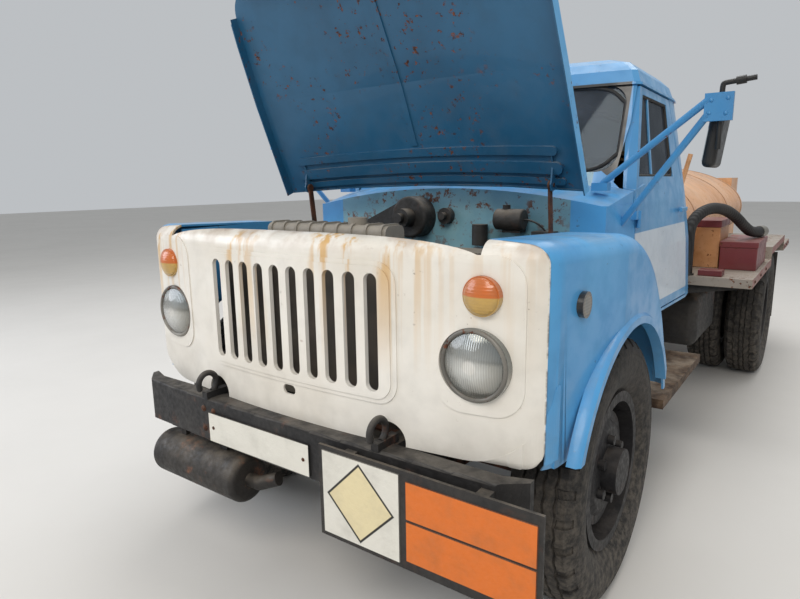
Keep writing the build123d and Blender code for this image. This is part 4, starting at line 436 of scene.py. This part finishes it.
def radiator_core(tree, place, colour):
    """Tubes and fins about 10 mm apart, drawn coarse enough to show, below the top tank; the dark brown lines between
    them are painted shade in the core's gaps.
    """
    x, y, z = axes(tree, place)
    tubes = node(tree, MATH, {0: times(tree, x, 2 * math.pi / 0.013)}, operation="SINE")
    fins = node(tree, MATH, {0: times(tree, z, 2 * math.pi / 0.010)}, operation="SINE")
    # Painted shade: dark brown lines in the gaps between tubes and fins
    painted_gap_shade = node(tree, RANGE, {0: times(tree, tubes, fins), 1: 0.1, 2: 0.4, 3: 1.0, 4: 0.35})
    painted_gap_shade = times(tree, between(tree, z, 0.765, 1.288), painted_gap_shade)
    return over(tree, painted_gap_shade, colour, over(tree, cloud(tree, place, 0.1), "#2b2621", "#4a4037"))


M = {
    "blue": old_enamel("blue_enamel", "#4391c9", "#529fd3", 0.2, chip=0.65, marks=nose_seam),
    "arms": old_enamel("blue_tube_enamel", "#3a80b4", "#4a92c4", 0.5, chip=0.6, dust_top=0.6),
    "door": old_enamel("blue_enamel_with_white_band", "#4489bb", "#5697c5", 0.22, chip=0.64, dust_top=1.0,
                       marks=door_band),
    "shell": old_enamel("blue_cab_enamel", "#4489bb", "#5697c5", 0.22, chip=0.65, marks=seal_around_windows),
    "cream": old_enamel("cream_nose_enamel", "#e4e0d8", "#d9d3c8", 0.28, "#c99f5c", 1.35, chip=0.645, rough=0.33,
                        dust_top=0.9, marks=nose_seam),
    "hood": old_enamel("hood_inside_teal", "#215c80", "#1c5172", 0.75, chip=0.585, rough=0.42, dust_top=1.0,
                       marks=hood_outside),
    "bay": old_enamel("blue_scuttle_enamel", "#4391c9", "#529fd3", 0.3, chip=0.62, marks=firewall_face),
    "rim": old_enamel("lamp_rim_old_plating", "#5d5a55", "#8b877e", 0.9, chip=0.53, rough=0.3, dust_top=0.6),
    "tank": old_enamel("tank_orange_tan", "#d3a073", "#c68e5c", 0.4, "#8a5a30", 1.6, chip=0.6, rough=0.45,
                       marks=tank_rings),
    "deck": old_enamel("deck_grey", "#948a80", "#756c62", 0.9, chip=0.56, rough=0.6, dust_top=1.6, marks=deck_edge),
    "chest": old_enamel("chest_dark_red", "#62191f", "#712a2c", 0.5, chip=0.6, rough=0.5, dust_top=1.0,
                        marks=tan_box),
    "black": worn_black("worn_chassis_black"),
    "placard": worn_black("sign_board_black", "#201f1f", 0.3, marks=placards),
    "bumper": worn_black("bumper_black", "#171617", 0.7, dust="#6d675f"),
    "muffler": worn_black("sooty_muffler_black", "#1b1918", 0.9, "#7a4a2c"),
    "wheel": worn_black("wheel_black", "#131215", 0.3, "#3c2c24", "#57504a", 0.45),
    "unit": worn_black("fan_unit_black", "#1d1c1b", 0.25),
    "iron": rusted_iron("rusty_iron"),
    "stub": rusted_iron("rusty_pipe_iron", "#5a3018", "#a0602e"),
    "engine": rusted_iron("oily_engine_iron", "#17130f", "#3a3128", "#6b6254", 0.5),
    "board": rusted_iron("dusty_step_iron", "#3b2c22", "#6e5a48", "#948675", 0.85),
    "hose": dusty_rubber("wrapped_hose_rubber", "#121213", "#4a4642", 0.35, ribs=0.018),
    "rubber": dusty_rubber("black_rubber"),
    "seal": dusty_rubber("window_seal_rubber", "#151515", "#4f4a44", 0.3),
    "tyre": tyre_rubber("dusty_tyre_rubber", 0.96),
    "radiator": worn_black("dusty_radiator_grey", "#857f75", 0.15, dust="#a39b8e", marks=radiator_core),
    "seat": leathercloth("brown_leathercloth"),
    "plastic": toned("black_moulded_plastic", "#171717", 0.42),
    "handle": toned("black_handle_enamel", "#1a1a1a", 0.35),
    "lamp": fluted_glass("fluted_lamp_glass"),
    "signal": lamp_lens("signal_lens", "#c4631f", "#bf9a50", 1.198, (-0.430, 1.160)),
    "red": lamp_lens("red_lens", "#a3231c", "#a3231c"),
    "glass": dusty_glass("dusty_window_glass", "#8d9a9c", 0.10, 0.22),
    "silver": toned("mirror_silvering", "#c9d2d6", 0.06, 1.0, depth=0.0),
    "alloy": toned("dull_cast_alloy", "#8f8c85", 0.5, 0.8),
}

# look: the CAD nodes that take it
NODE_LOOK = {
    "blue": ["fender_left", "fender_right", "dashboard"],
    "arms": ["mirrors"],
    "shell": ["cab_shell"],
    "door": ["door_left", "door_right"],
    "cream": ["nose_panel"],
    "bay": ["cowl"],
    "hood": ["hood_panel"],
    "tank": ["tank", "tank_fittings", "manhole_lid", "rear_cabinet", "cabinet_door_left", "cabinet_door_right"],
    "deck": ["side_decks"],
    "chest": ["deck_boxes"],
    "black": ["frame_rails", "crossmembers", "tank_bearers", "fuel_tank"],
    "placard": ["sign_board"],
    "bumper": ["bumper", "rear_bumper"],
    "muffler": ["muffler"],
    "wheel": ["wheel_front_left", "wheel_front_right", "wheels_rear_left", "wheels_rear_right"],
    "iron": ["front_axle", "leaf_springs", "rear_axle", "knuckle_left", "knuckle_right", "tie_rod", "hood_links",
             "manifold"],
    "engine": ["engine_block"],
    "board": ["running_boards"],
    "rubber": ["hose", "mudflaps"],
    "alloy": ["hose_coupling"],
    "tyre": ["tyre_front_left", "tyre_front_right", "tyres_rear_left", "tyres_rear_right"],
    "radiator": ["radiator"],
    "unit": ["firewall_units"],
    "seat": ["bench_seat"],
    "plastic": ["steering_wheel", "mirror_heads"],
    "lamp": ["headlamps"],
    "signal": ["signal_lamps"],
    "red": ["tail_lamps"],
    "glass": ["cab_glass", "door_glass_left", "door_glass_right"],
}
for look, names in NODE_LOOK.items():
    for name in names:
        mesh = nodes[name].data
        mesh.materials.clear()
        mesh.materials.append(M[look])


# Pieces

def piece(name, shape, look, body, smooth=False):
    """Makes a scene piece of a bmesh, dressed and riding on a body."""
    mesh = bpy.data.meshes.new(name)
    shape.to_mesh(mesh)
    shape.free()
    mesh.materials.append(M[look])
    if smooth:
        mesh.shade_smooth()
    holder = bpy.data.objects.new(name, mesh)
    scene.collection.objects.link(holder)
    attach(holder, body)
    return holder


def tube(name, points, radius, look, body, closed=False, order=3):
    """A round tube along a smooth line through given control points."""
    curve = bpy.data.curves.new(name, "CURVE")
    curve.dimensions = "3D"
    curve.bevel_depth = 1.0
    curve.bevel_resolution = 4
    curve.use_fill_caps = True
    spline = curve.splines.new("NURBS")
    spline.points.add(len(points) - 1)
    for point, place in zip(spline.points, points):
        point.co = (*place, 1.0)
        point.radius = radius
    spline.order_u = order
    spline.use_endpoint_u = not closed
    spline.use_cyclic_u = closed
    spline.resolution_u = 8
    curve.materials.append(M[look])
    holder = bpy.data.objects.new(name, curve)
    scene.collection.objects.link(holder)
    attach(holder, body)
    return holder


# Hose: the same points as the CAD route

HOSE_POINTS = [
    (0.780, 1.724, 1.010), (0.780, 1.724, 1.120), (0.777, 1.742, 1.222), (0.802, 1.798, 1.290),
    (0.850, 1.900, 1.328), (0.906, 2.022, 1.320), (0.958, 2.132, 1.272), (1.000, 2.226, 1.204),
    (1.034, 2.322, 1.1583), (1.064, 2.424, 1.1583),
]
hose = tube("delivery_hose", [at(*point) for point in HOSE_POINTS], 0.033, "hose", "chassis")
hose.data.splines[0].resolution_u = 16
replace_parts(hose, "hose")


def joined(shapes):
    """Several bmeshes as one."""
    whole = bmesh.new()
    for shape in shapes:
        mesh = bpy.data.meshes.new("part")
        shape.to_mesh(mesh)
        shape.free()
        whole.from_mesh(mesh)
        bpy.data.meshes.remove(mesh)
    return whole


# Forms that the photo shows beyond the CAD's, some on merged copies of its pieces

FENDER_FRONT_END = 0.712
FENDER_REAR_END = 0.640
SAME_POINT = 0.00002


def merged_copy(name):
    """A CAD node's mesh as a bmesh with its doubles merged."""
    shape = bmesh.new()
    shape.from_mesh(nodes[name].data)
    bmesh.ops.remove_doubles(shape, verts=shape.verts, dist=SAME_POINT)
    return shape


def cut_below(shape, height, ahead):
    """Cuts away what lies below a height, ahead of or behind the axle, and closes the cut."""
    faces = [face for face in shape.faces if (face.calc_center_median().y < -MIDDLE) == ahead]
    edges = dict.fromkeys(edge for face in faces for edge in face.edges)
    verts = dict.fromkeys(vert for face in faces for vert in face.verts)
    bmesh.ops.bisect_plane(shape, geom=[*verts, *edges, *faces], dist=1e-6, plane_co=(0, 0, height),
                           plane_no=(0, 0, 1), clear_inner=True)
    bmesh.ops.holes_fill(shape, edges=[edge for edge in shape.edges if edge.is_boundary])


# Nose corner on the left, below the CAD sheet's curved foot: outline points found on the sheet itself

FOOT_X = 0.655
FOOT_RADIUS = 0.240
NOSE_BOTTOM = 0.7103
CORNER = at(0.790, -0.580, 0.953)
CORNER_ROUND = 0.04
PROUD = 0.0004
OVERLAP = 0.004
CURL_HEIGHT = 0.022
CURL_DEPTH = 0.010
SHEET = 0.003
SAME_PLACE = 0.0001
SEAM_EDGE = SEAM - 0.0005


def nose_outline():
    """Points on the outside of the nose and fender, from the front round to the side, with the way out at each."""
    looks = [(at(0.648 + 0.015 * i, -1.5, 0.800), (0, 1, 0)) for i in range(10)]
    for turn in range(4, 85, 5):
        way = Vector((math.sin(math.radians(turn)), -math.cos(math.radians(turn)), 0))
        looks.append((CORNER + way, -way))
    looks += [(at(1.5, SEAM_EDGE + 0.0075 * i, 0.953), (-1, 0, 0)) for i in range(7)]
    points = []
    for start_point, way in looks:
        for name in ("nose_panel", "fender_left"):
            hit, where, normal, index = nodes[name].ray_cast(start_point, Vector(way))
            if hit:
                outward = -Vector(way)
                points.append((where + outward * PROUD, outward))
                break
    return points


def corner_sheet(name, part, look, round_at):
    """A sheet from the foot curve down to the nose's bottom, curled under, with its corner rounded at a station."""
    shape = bmesh.new()
    rows = 10
    chain = []
    for where, outward in part:
        run = min(max(where.x - FOOT_X, 0.0), FOOT_RADIUS)
        top = NOSE_BOTTOM + FOOT_RADIUS - math.sqrt(FOOT_RADIUS ** 2 - run ** 2) + OVERLAP
        chain.append(shape.verts.new((where.x, where.y, top)))
    edges = [shape.edges.new(pair) for pair in zip(chain, chain[1:])]
    tops = [vert.co.z for vert in chain]
    for row in range(1, rows + 1):
        made = bmesh.ops.extrude_edge_only(shape, edges=edges)["geom"]
        edges = [item for item in made if isinstance(item, bmesh.types.BMEdge)]
        chain = [vert for old in chain for vert in {v for edge in old.link_edges for v in edge.verts}
                 if vert in made and vert not in chain]
        for vert, top, (where, outward) in zip(chain, tops, part):
            near = max(0.0, CORNER_ROUND - abs(where.y - (round_at - MIDDLE))) if round_at else 0.0
            low = NOSE_BOTTOM + 0.0015 + CORNER_ROUND - math.sqrt(CORNER_ROUND ** 2 - near ** 2)
            low = min(low, top)
            height = top + (low - top) * row / rows
            curl = max(0.0, 1 - (height - low) / CURL_HEIGHT) ** 2 * CURL_DEPTH
            vert.co = (where.x - outward.x * curl, where.y - outward.y * curl, height)
    bmesh.ops.remove_doubles(shape, verts=shape.verts, dist=0.0001)
    bmesh.ops.solidify(shape, geom=shape.faces[:], thickness=SHEET)
    bmesh.ops.recalc_face_normals(shape, faces=shape.faces)
    return piece(name, shape, look, "chassis", False)


outline = nose_outline()
split = SEAM_EDGE - MIDDLE
nose_part = [item for item in outline if item[0].y < split + SAME_PLACE]
fender_part = [item for item in outline if item[0].y > split - SAME_PLACE]
corner_sheet("nose_corner", nose_part, "cream", SEAM)
corner_sheet("fender_corner", fender_part, "blue", None)

for side, name in ((1, "left"), (-1, "right")):
    shape = merged_copy("fender_" + name)
    cut_below(shape, FENDER_FRONT_END, True)
    cut_below(shape, FENDER_REAR_END, False)
    fender = piece("trimmed_fender_" + name, shape, "blue", "chassis")
    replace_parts(fender, "fender_" + name)

# Side lamps lie lower on the fender than the CAD solids do
LAMP_SEAT = 0.914
LAMP_DEPTH = 0.45
shape = merged_copy("signal_lamps")
for vert in shape.verts:
    if abs(vert.co.x) > LAMP_SEAT:
        vert.co.x = math.copysign(LAMP_SEAT + (abs(vert.co.x) - LAMP_SEAT) * LAMP_DEPTH, vert.co.x)
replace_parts(piece("seated_signal_lamps", shape, "signal", "chassis"), "signal_lamps")

# Deck boxes as the photo places them: a tall inner one, a long outer one under the hose's end, a loose lid ahead

DECK_TOP = 0.950
BOX_EDGE = 0.004
BOXES = [
    # middle x, middle station, bottom, then size across, along and high
    (0.8175, 2.275, DECK_TOP + 0.0003, 0.145, 0.350, 0.250),
    (0.8175, 2.275, 1.2003, 0.153, 0.358, 0.044),
    (1.000, 2.320, DECK_TOP + 0.0003, 0.200, 0.520, 0.135),
    (1.000, 2.320, 1.0853, 0.208, 0.530, 0.036),
    (0.905, 1.770, DECK_TOP + 0.0003, 0.125, 0.100, 0.034),
]
shapes = []
for x, station, low, across, along, high in BOXES:
    shape = bmesh.new()
    bmesh.ops.create_cube(shape, size=1.0)
    bmesh.ops.scale(shape, vec=(across, along, high), verts=shape.verts)
    bmesh.ops.translate(shape, vec=at(x, station, low + high / 2), verts=shape.verts)
    bmesh.ops.bevel(shape, geom=shape.edges, offset=BOX_EDGE, affect="EDGES", segments=2, profile=0.5, material=-1)
    shapes.append(shape)
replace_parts(piece("deck_chests", joined(shapes), "chest", "chassis"), "deck_boxes")

# Baffles between the radiator and the nose, so that no light shows past the core

BAFFLE_SIZE = (0.330, 0.004, 0.545)
BAFFLE_PLACE = (0.450, -0.452, 1.030)
for side, name in ((1, "left"), (-1, "right")):
    shape = bmesh.new()
    bmesh.ops.create_cube(shape, size=1.0)
    bmesh.ops.scale(shape, vec=BAFFLE_SIZE, verts=shape.verts)
    bmesh.ops.translate(shape, vec=at(side * BAFFLE_PLACE[0], *BAFFLE_PLACE[1:]), verts=shape.verts)
    piece("radiator_baffle_" + name, shape, "radiator", "chassis")

# Tyres: (across from the tyre's middle, radius) round the section, in metres, with two grooves each side

TREAD = [(0.0855, 0.4745), (0.058, 0.4780), (0.056, 0.4680), (0.050, 0.4680), (0.048, 0.4785), (0.020, 0.4797),
         (0.018, 0.4690), (0.012, 0.4690), (0.010, 0.4800)]
SIDEWALL = [(0.0777, 0.258), (0.0777, 0.288), (0.090, 0.303), (0.103, 0.325), (0.112, 0.352), (0.1170, 0.380),
            (0.1168, 0.402), (0.1140, 0.418), (0.1155, 0.421), (0.1135, 0.430), (0.106, 0.446), (0.0995, 0.458)]
SPINS = 96
TYRE_RADIUS = 0.480
SLOT_EVERY = 3
SLOT_DEPTH = 0.009
ZIGZAG = 0.006


def tyre_shape(x_middle, station):
    """One lugged road tyre: the section spun round the axle, zigzag grooves and slotted shoulders."""
    shape = bmesh.new()
    half = SIDEWALL + TREAD
    section = half + [(-x, r) for x, r in reversed(half)] + [(-0.0637, 0.288), (0.0637, 0.288)]
    middle = at(x_middle, station, TYRE_RADIUS)
    ring = [shape.verts.new(middle + Vector((x, 0, r))) for x, r in section]
    edges = [shape.edges.new(pair) for pair in zip(ring, ring[1:] + ring[:1])]
    bmesh.ops.spin(shape, geom=ring + edges, cent=middle, axis=(1, 0, 0), angle=2 * math.pi, steps=SPINS,
                   use_merge=True)
    bmesh.ops.remove_doubles(shape, verts=shape.verts, dist=0.0004)
    step = 2 * math.pi / SPINS
    for vert in shape.verts:
        away = vert.co - middle
        turn = round(math.atan2(away.y, away.z) / step)
        if abs(away.x) < 0.0595 and math.hypot(away.y, away.z) > 0.46 and turn % 2:
            vert.co.x += ZIGZAG
    shoulder = []
    for face in shape.faces:
        away = face.calc_center_median() - middle
        turn = math.floor(math.atan2(away.y, away.z) / step)
        if 0.060 < abs(away.x) < 0.1035 and math.hypot(away.y, away.z) > 0.450 and turn % SLOT_EVERY == 0:
            shoulder.append(face)
    cut = bmesh.ops.extrude_face_region(shape, geom=shoulder)
    bmesh.ops.delete(shape, geom=shoulder, context="FACES")
    for item in cut["geom"]:
        if isinstance(item, bmesh.types.BMVert):
            away = item.co - middle
            inward = Vector((0, away.y, away.z)).normalized() * SLOT_DEPTH
            item.co -= inward
    bmesh.ops.recalc_face_normals(shape, faces=shape.faces)
    return shape


for side, name in ((1, "left"), (-1, "right")):
    front = piece("road_tyre_front_" + name, tyre_shape(side * 0.815, 0.0), "tyre", "front_wheel_" + name)
    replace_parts(front, "tyre_front_" + name)
    pair = joined([tyre_shape(side * 0.714, 3.3), tyre_shape(side * 0.976, 3.3)])
    rear = piece("road_tyres_rear_" + name, pair, "tyre", "rear_wheels_" + name)
    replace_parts(rear, "tyres_rear_" + name)

# Bench seat: padded leathercloth on the CAD solids' places

SEWN_CHANNELS = 9
VOXEL = 0.012
PADDING = 0.03
PRESSURE = 4.0
CLOTH_FRAMES = 20
BULGE = 0.02
SEAM_REACH = 0.02
SEAM_DEPTH = 0.010


def padded_cushion(name, low, high):
    """A stuffed cushion: a slightly smaller box, remeshed, blown up as cloth, capped, then sewn in channels."""
    shape = bmesh.new()
    bmesh.ops.create_cube(shape, size=1.0)
    size = Vector(high) - Vector(low)
    middle = (Vector(low) + Vector(high)) / 2
    bmesh.ops.scale(shape, vec=size - Vector((PADDING, PADDING, PADDING)), verts=shape.verts)
    bmesh.ops.translate(shape, vec=middle, verts=shape.verts)
    bmesh.ops.bevel(shape, geom=shape.edges, offset=PADDING, affect="EDGES", segments=3, profile=0.5, material=-1)
    pad = piece(name, shape, "seat", "chassis", True)
    bpy.context.view_layer.objects.active = pad
    remesh = pad.modifiers.new("remesh", "REMESH")
    remesh.mode = "VOXEL"
    remesh.voxel_size = VOXEL
    bpy.ops.object.select_all(action="DESELECT")
    pad.select_set(True)
    bpy.ops.object.modifier_apply(modifier=remesh.name)
    before = [vert.co.copy() for vert in pad.data.vertices]
    cloth = pad.modifiers.new("cloth", "CLOTH")
    cloth.settings.use_pressure = True
    cloth.settings.uniform_pressure_force = PRESSURE
    cloth.settings.effector_weights.gravity = 0.0
    cloth.point_cache.frame_end = CLOTH_FRAMES
    for number in range(1, CLOTH_FRAMES + 1):
        scene.frame_set(number)
    bpy.ops.object.modifier_apply(modifier=cloth.name)
    scene.frame_set(1)
    for vert, old in zip(pad.data.vertices, before):
        moved = vert.co - old
        if moved.length > BULGE:
            vert.co = old + moved.normalized() * BULGE
    for vert in pad.data.vertices:
        across = (vert.co.x - low[0]) / size.x * SEWN_CHANNELS
        near = abs(across - round(across)) * size.x / SEWN_CHANNELS
        if near < SEAM_REACH and 0.2 < across < SEWN_CHANNELS - 0.2:
            vert.co -= vert.normal * SEAM_DEPTH * math.cos(near / SEAM_REACH * math.pi / 2)
        for index in range(3):
            vert.co[index] = min(max(vert.co[index], low[index]), high[index])
    smooth = pad.modifiers.new("smooth", "SUBSURF")
    smooth.levels = 1
    smooth.render_levels = 1
    return pad


seat_low, seat_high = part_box("bench_seat")
base = padded_cushion("seat_cushion", (seat_low.x, 0.960 - MIDDLE, 1.0803), (seat_high.x, 1.400 - MIDDLE, 1.232))
back = padded_cushion("seat_back", (seat_low.x, 1.4006 - MIDDLE, 1.150), (seat_high.x, 1.530 - MIDDLE, 1.640))
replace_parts(base, "bench_seat")

# Window seals: rubber tubes laid on the glass just inside each opening

SEAL_RADIUS = 0.008


def rounded_corners(corners, radius):
    """Control points of a closed line with its corners rounded: two near each corner and one between corners."""
    points = []
    for index, corner in enumerate(corners):
        before = Vector(corners[index - 1])
        here = Vector(corner)
        after = Vector(corners[(index + 1) % len(corners)])
        points.append(here + (before - here).normalized() * radius)
        points.append(here + (before - here).normalized() * radius * 0.3)
        points.append(here + (after - here).normalized() * radius * 0.3)
        points.append(here + (after - here).normalized() * radius)
        for share in (0.2, 0.35, 0.5, 0.65, 0.8):
            points.append(here.lerp(after, share))
    return points


def on_glass(pane, flat_points, origin, direction, spread):
    """Puts flat points on a glass pane by looking along a direction from outside."""
    placed = []
    for u, v in flat_points:
        start_point = origin(u, v)
        hit, where, normal, index = nodes[pane].ray_cast(start_point, Vector(direction))
        if hit:
            placed.append(where - Vector(direction) * spread)
    return placed


def window_seal(name, pane, corners, radius, origin, direction, body):
    """A rubber tube on a pane, just inside its opening."""
    points = on_glass(pane, rounded_corners(corners, radius), origin, direction, 0.002)
    return tube(name, points, SEAL_RADIUS, "seal", body, closed=True)


SCREEN = [(-0.680, 1.537), (0.680, 1.537), (0.680, 1.897), (-0.680, 1.897)]
window_seal("windscreen_seal", "cab_glass", SCREEN, 0.075, lambda u, v: at(u, -1.5, v), (0, 1, 0), "chassis")
REAR_PANE = [(-0.447, 1.573), (0.447, 1.573), (0.447, 1.857), (-0.447, 1.857)]
window_seal("rear_window_seal", "cab_glass", REAR_PANE, 0.06, lambda u, v: at(u, 2.5, v), (0, -1, 0), "chassis")
DOOR_PANE = [(0.6555, 1.515), (1.259, 1.515), (1.259, 1.859), (0.778, 1.859)]
for side, name in ((1, "left"), (-1, "right")):
    window_seal("door_window_seal_" + name, "door_glass_" + name, DOOR_PANE, 0.04,
                lambda u, v, way=side: at(way * 1.5, u, v), (-side, 0, 0), "door_" + name)

# Headlamp rims: a rolled ring round each glass

RIM_PLACE = (0.690, -0.650, 1.000)
RIM_RADIUS = 0.099
RIM_THICKNESS = 0.0065
for side, name in ((1, "left"), (-1, "right")):
    shape = bmesh.new()
    middle = at(side * RIM_PLACE[0], *RIM_PLACE[1:])
    bmesh.ops.create_circle(shape, cap_ends=False, segments=12, radius=RIM_THICKNESS,
                            matrix=Matrix.Translation(middle + Vector((RIM_RADIUS, 0, 0))))
    bmesh.ops.spin(shape, geom=shape.verts[:] + shape.edges[:], cent=middle, axis=(0, 1, 0), angle=2 * math.pi,
                   steps=64, use_merge=True)
    bmesh.ops.remove_doubles(shape, verts=shape.verts, dist=0.0004)
    bmesh.ops.recalc_face_normals(shape, faces=shape.faces)
    piece("headlamp_rim_" + name, shape, "rim", "chassis", True)

# Bolts and rivets: domed heads, joined a set at a time

def heads(name, places, radius, look, body, direction):
    """Round bolt heads that stand on a surface and point along a direction."""
    shape = bmesh.new()
    turn = Vector(direction).to_track_quat("Z", "Y").to_matrix().to_4x4()
    for place in places:
        made = bmesh.ops.create_uvsphere(shape, u_segments=10, v_segments=6, radius=radius,
                                         matrix=Matrix.Translation(place) @ turn @ Matrix.Diagonal((1, 1, 0.6, 1)))
        assert made["verts"]
    return piece(name, shape, look, body, True)


heads("bumper_bolts", [at(x, -0.738, z) for x in (-0.43, -0.37, 0.37, 0.43) for z in (0.585, 0.665)], 0.013, "iron",
      "chassis", (0, -1, 0))
heads("plate_bolts", [at(x, -0.752, 0.605) for x in (-0.36, 0.11)], 0.007, "iron", "chassis", (0, -1, 0))
heads("deck_edge_bolts", [at(1.125, 1.80 + 0.30 * i, 0.925) for i in range(3)] +
      [at(1.125, 3.95 + 0.20 * i, 0.925) for i in range(3)], 0.010, "iron", "chassis", (1, 0, 0))

CLAMP_X = 1.098
clamp_bolts = []
for side in (1, -1):
    for across, height in ((-0.028, 1.722), (0.024, 1.718), (-0.024, 1.764), (0.028, 1.768)):
        ahead = at(side * CLAMP_X + across, -1.5, height)
        hit, where, normal, index = nodes["mirrors"].ray_cast(ahead, Vector((0, 1, 0)))
        if hit:
            clamp_bolts.append(where)
heads("mirror_clamp_bolts", clamp_bolts, 0.0075, "arms", "chassis", (0, -1, 0))

# Mirror heads: folded edge-on to the camera, with their glass to the cab

HEAD_PLACE = at(1.080, 0.448, 1.636)
HEAD_SIZE = (0.046, 0.150, 0.196)
GLASS_SIZE = (0.004, 0.112, 0.158)
HEAD_LEAN = math.radians(7)
head_shape = bmesh.new()
bmesh.ops.create_cube(head_shape, size=1.0)
bmesh.ops.scale(head_shape, vec=HEAD_SIZE, verts=head_shape.verts)
bmesh.ops.bevel(head_shape, geom=head_shape.edges, offset=0.018, affect="EDGES", segments=4, profile=0.5, material=-1)
glass_shape = bmesh.new()
bmesh.ops.create_cube(glass_shape, size=1.0)
bmesh.ops.scale(glass_shape, vec=GLASS_SIZE, verts=glass_shape.verts)
bmesh.ops.translate(glass_shape, vec=(-0.0232, 0, 0), verts=glass_shape.verts)
for shape, name, look in ((head_shape, "folded_mirror_heads", "plastic"), (glass_shape, "mirror_glasses", "silver")):
    bmesh.ops.transform(shape, matrix=Matrix.Translation(HEAD_PLACE) @ Matrix.Rotation(HEAD_LEAN, 4, "Y"),
                        verts=shape.verts)
    other = shape.copy()
    bmesh.ops.scale(other, vec=(-1, 1, 1), verts=other.verts)
    bmesh.ops.reverse_faces(other, faces=other.faces)
    made = piece(name, joined([shape, other]), look, "chassis")
    if name == "folded_mirror_heads":
        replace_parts(made, "mirror_heads")

# Bent bar above each clamp, its sleeve, and the stub that holds the head, on the CAD bar's line

BAR_PARTS = [
    # name, radius, order, points as x, station, height on the left side
    ("bar", 0.009, 3, [(1.102, 0.3483, 1.600), (1.102, 0.3483, 1.750), (1.102, 0.3483, 1.812), (1.106, 0.3483, 1.8205),
                       (1.125, 0.3483, 1.8225), (1.2035, 0.3483, 1.830)]),
    ("sleeve", 0.014, 2, [(1.143, 0.3483, 1.824), (1.173, 0.3483, 1.827)]),
    ("stub", 0.008, 2, [(1.102, 0.3483, 1.634), (1.085, 0.448, 1.634)]),
]
for side, name in ((1, "left"), (-1, "right")):
    for part, radius, order, points in BAR_PARTS:
        tube("mirror_" + part + "_" + name, [at(side * x, y, z) for x, y, z in points], radius, "plastic", "chassis",
             order=order)

# Engine bay: coolant hose, heater pipe and wires

BAY_TUBES = [
    # name, radius, look, points as x, station, height
    ("coolant_hose", 0.024, "rubber", [(-0.16, -0.392, 1.325), (-0.16, -0.34, 1.325), (-0.12, -0.25, 1.26),
                                       (-0.06, -0.18, 1.20), (-0.05, -0.15, 1.16)]),
    ("firewall_wires", 0.006, "plastic", [(-0.60, 0.292, 1.20), (-0.45, 0.285, 1.17), (-0.25, 0.288, 1.19),
                                          (0.00, 0.285, 1.16), (0.20, 0.29, 1.18), (0.36, 0.27, 1.22)]),
    ("heater_pipe", 0.012, "rubber", [(-0.02, 0.292, 1.06), (-0.02, 0.25, 1.06), (-0.06, 0.16, 1.10),
                                      (-0.08, 0.10, 1.12), (-0.08, 0.06, 1.14)]),
    ("motor_wire", 0.004, "plastic", [(0.43, 0.24, 1.345), (0.47, 0.24, 1.345), (0.52, 0.26, 1.30),
                                      (0.53, 0.29, 1.22), (0.53, 0.292, 1.14)]),
]
for name, radius, look, points in BAY_TUBES:
    tube(name, [at(*point) for point in points], radius, look, "chassis")

# Stage and light

WORLD_STRENGTH = 0.62
scene.view_settings.view_transform = "Standard"
world = bpy.data.worlds.new("studio")
world.use_nodes = True
world.node_tree.nodes["Background"].inputs["Color"].default_value = srgb("#e9edf1")
world.node_tree.nodes["Background"].inputs["Strength"].default_value = WORLD_STRENGTH
scene.world = world

floor_shape = bmesh.new()
bmesh.ops.create_grid(floor_shape, x_segments=1, y_segments=1, size=40)
floor_mesh = bpy.data.meshes.new("floor")
floor_shape.to_mesh(floor_mesh)
floor_shape.free()
floor = bpy.data.objects.new("floor", floor_mesh)
scene.collection.objects.link(floor)
floor.data.materials.append(toned("pale_studio_floor", "#cfccc7", 0.8, grain=0.3, depth=0.0, share=0.04))


def soft_lamp(name, place, target, size, power, colour="#ffffff"):
    """A round area lamp that looks at a target."""
    lamp = bpy.data.lights.new(name, "AREA")
    lamp.shape = "DISK"
    lamp.size = size
    lamp.energy = power
    lamp.color = srgb(colour)[:3]
    holder = bpy.data.objects.new(name, lamp)
    holder.location = place
    holder.rotation_euler = (Vector(target) - Vector(place)).to_track_quat("-Z", "Y").to_euler()
    scene.collection.objects.link(holder)


soft_lamp("key_light", (2.6, -8.6, 7.0), (0, -1.5, 0.8), 5.0, 440, "#fff9f0")
soft_lamp("fill_light", (-6.5, -6.0, 4.0), (0, -1.0, 0.8), 5.0, 230, "#eef4ff")
soft_lamp("top_light", (0, 1.5, 8.0), (0, 0.5, 0), 7.0, 430)
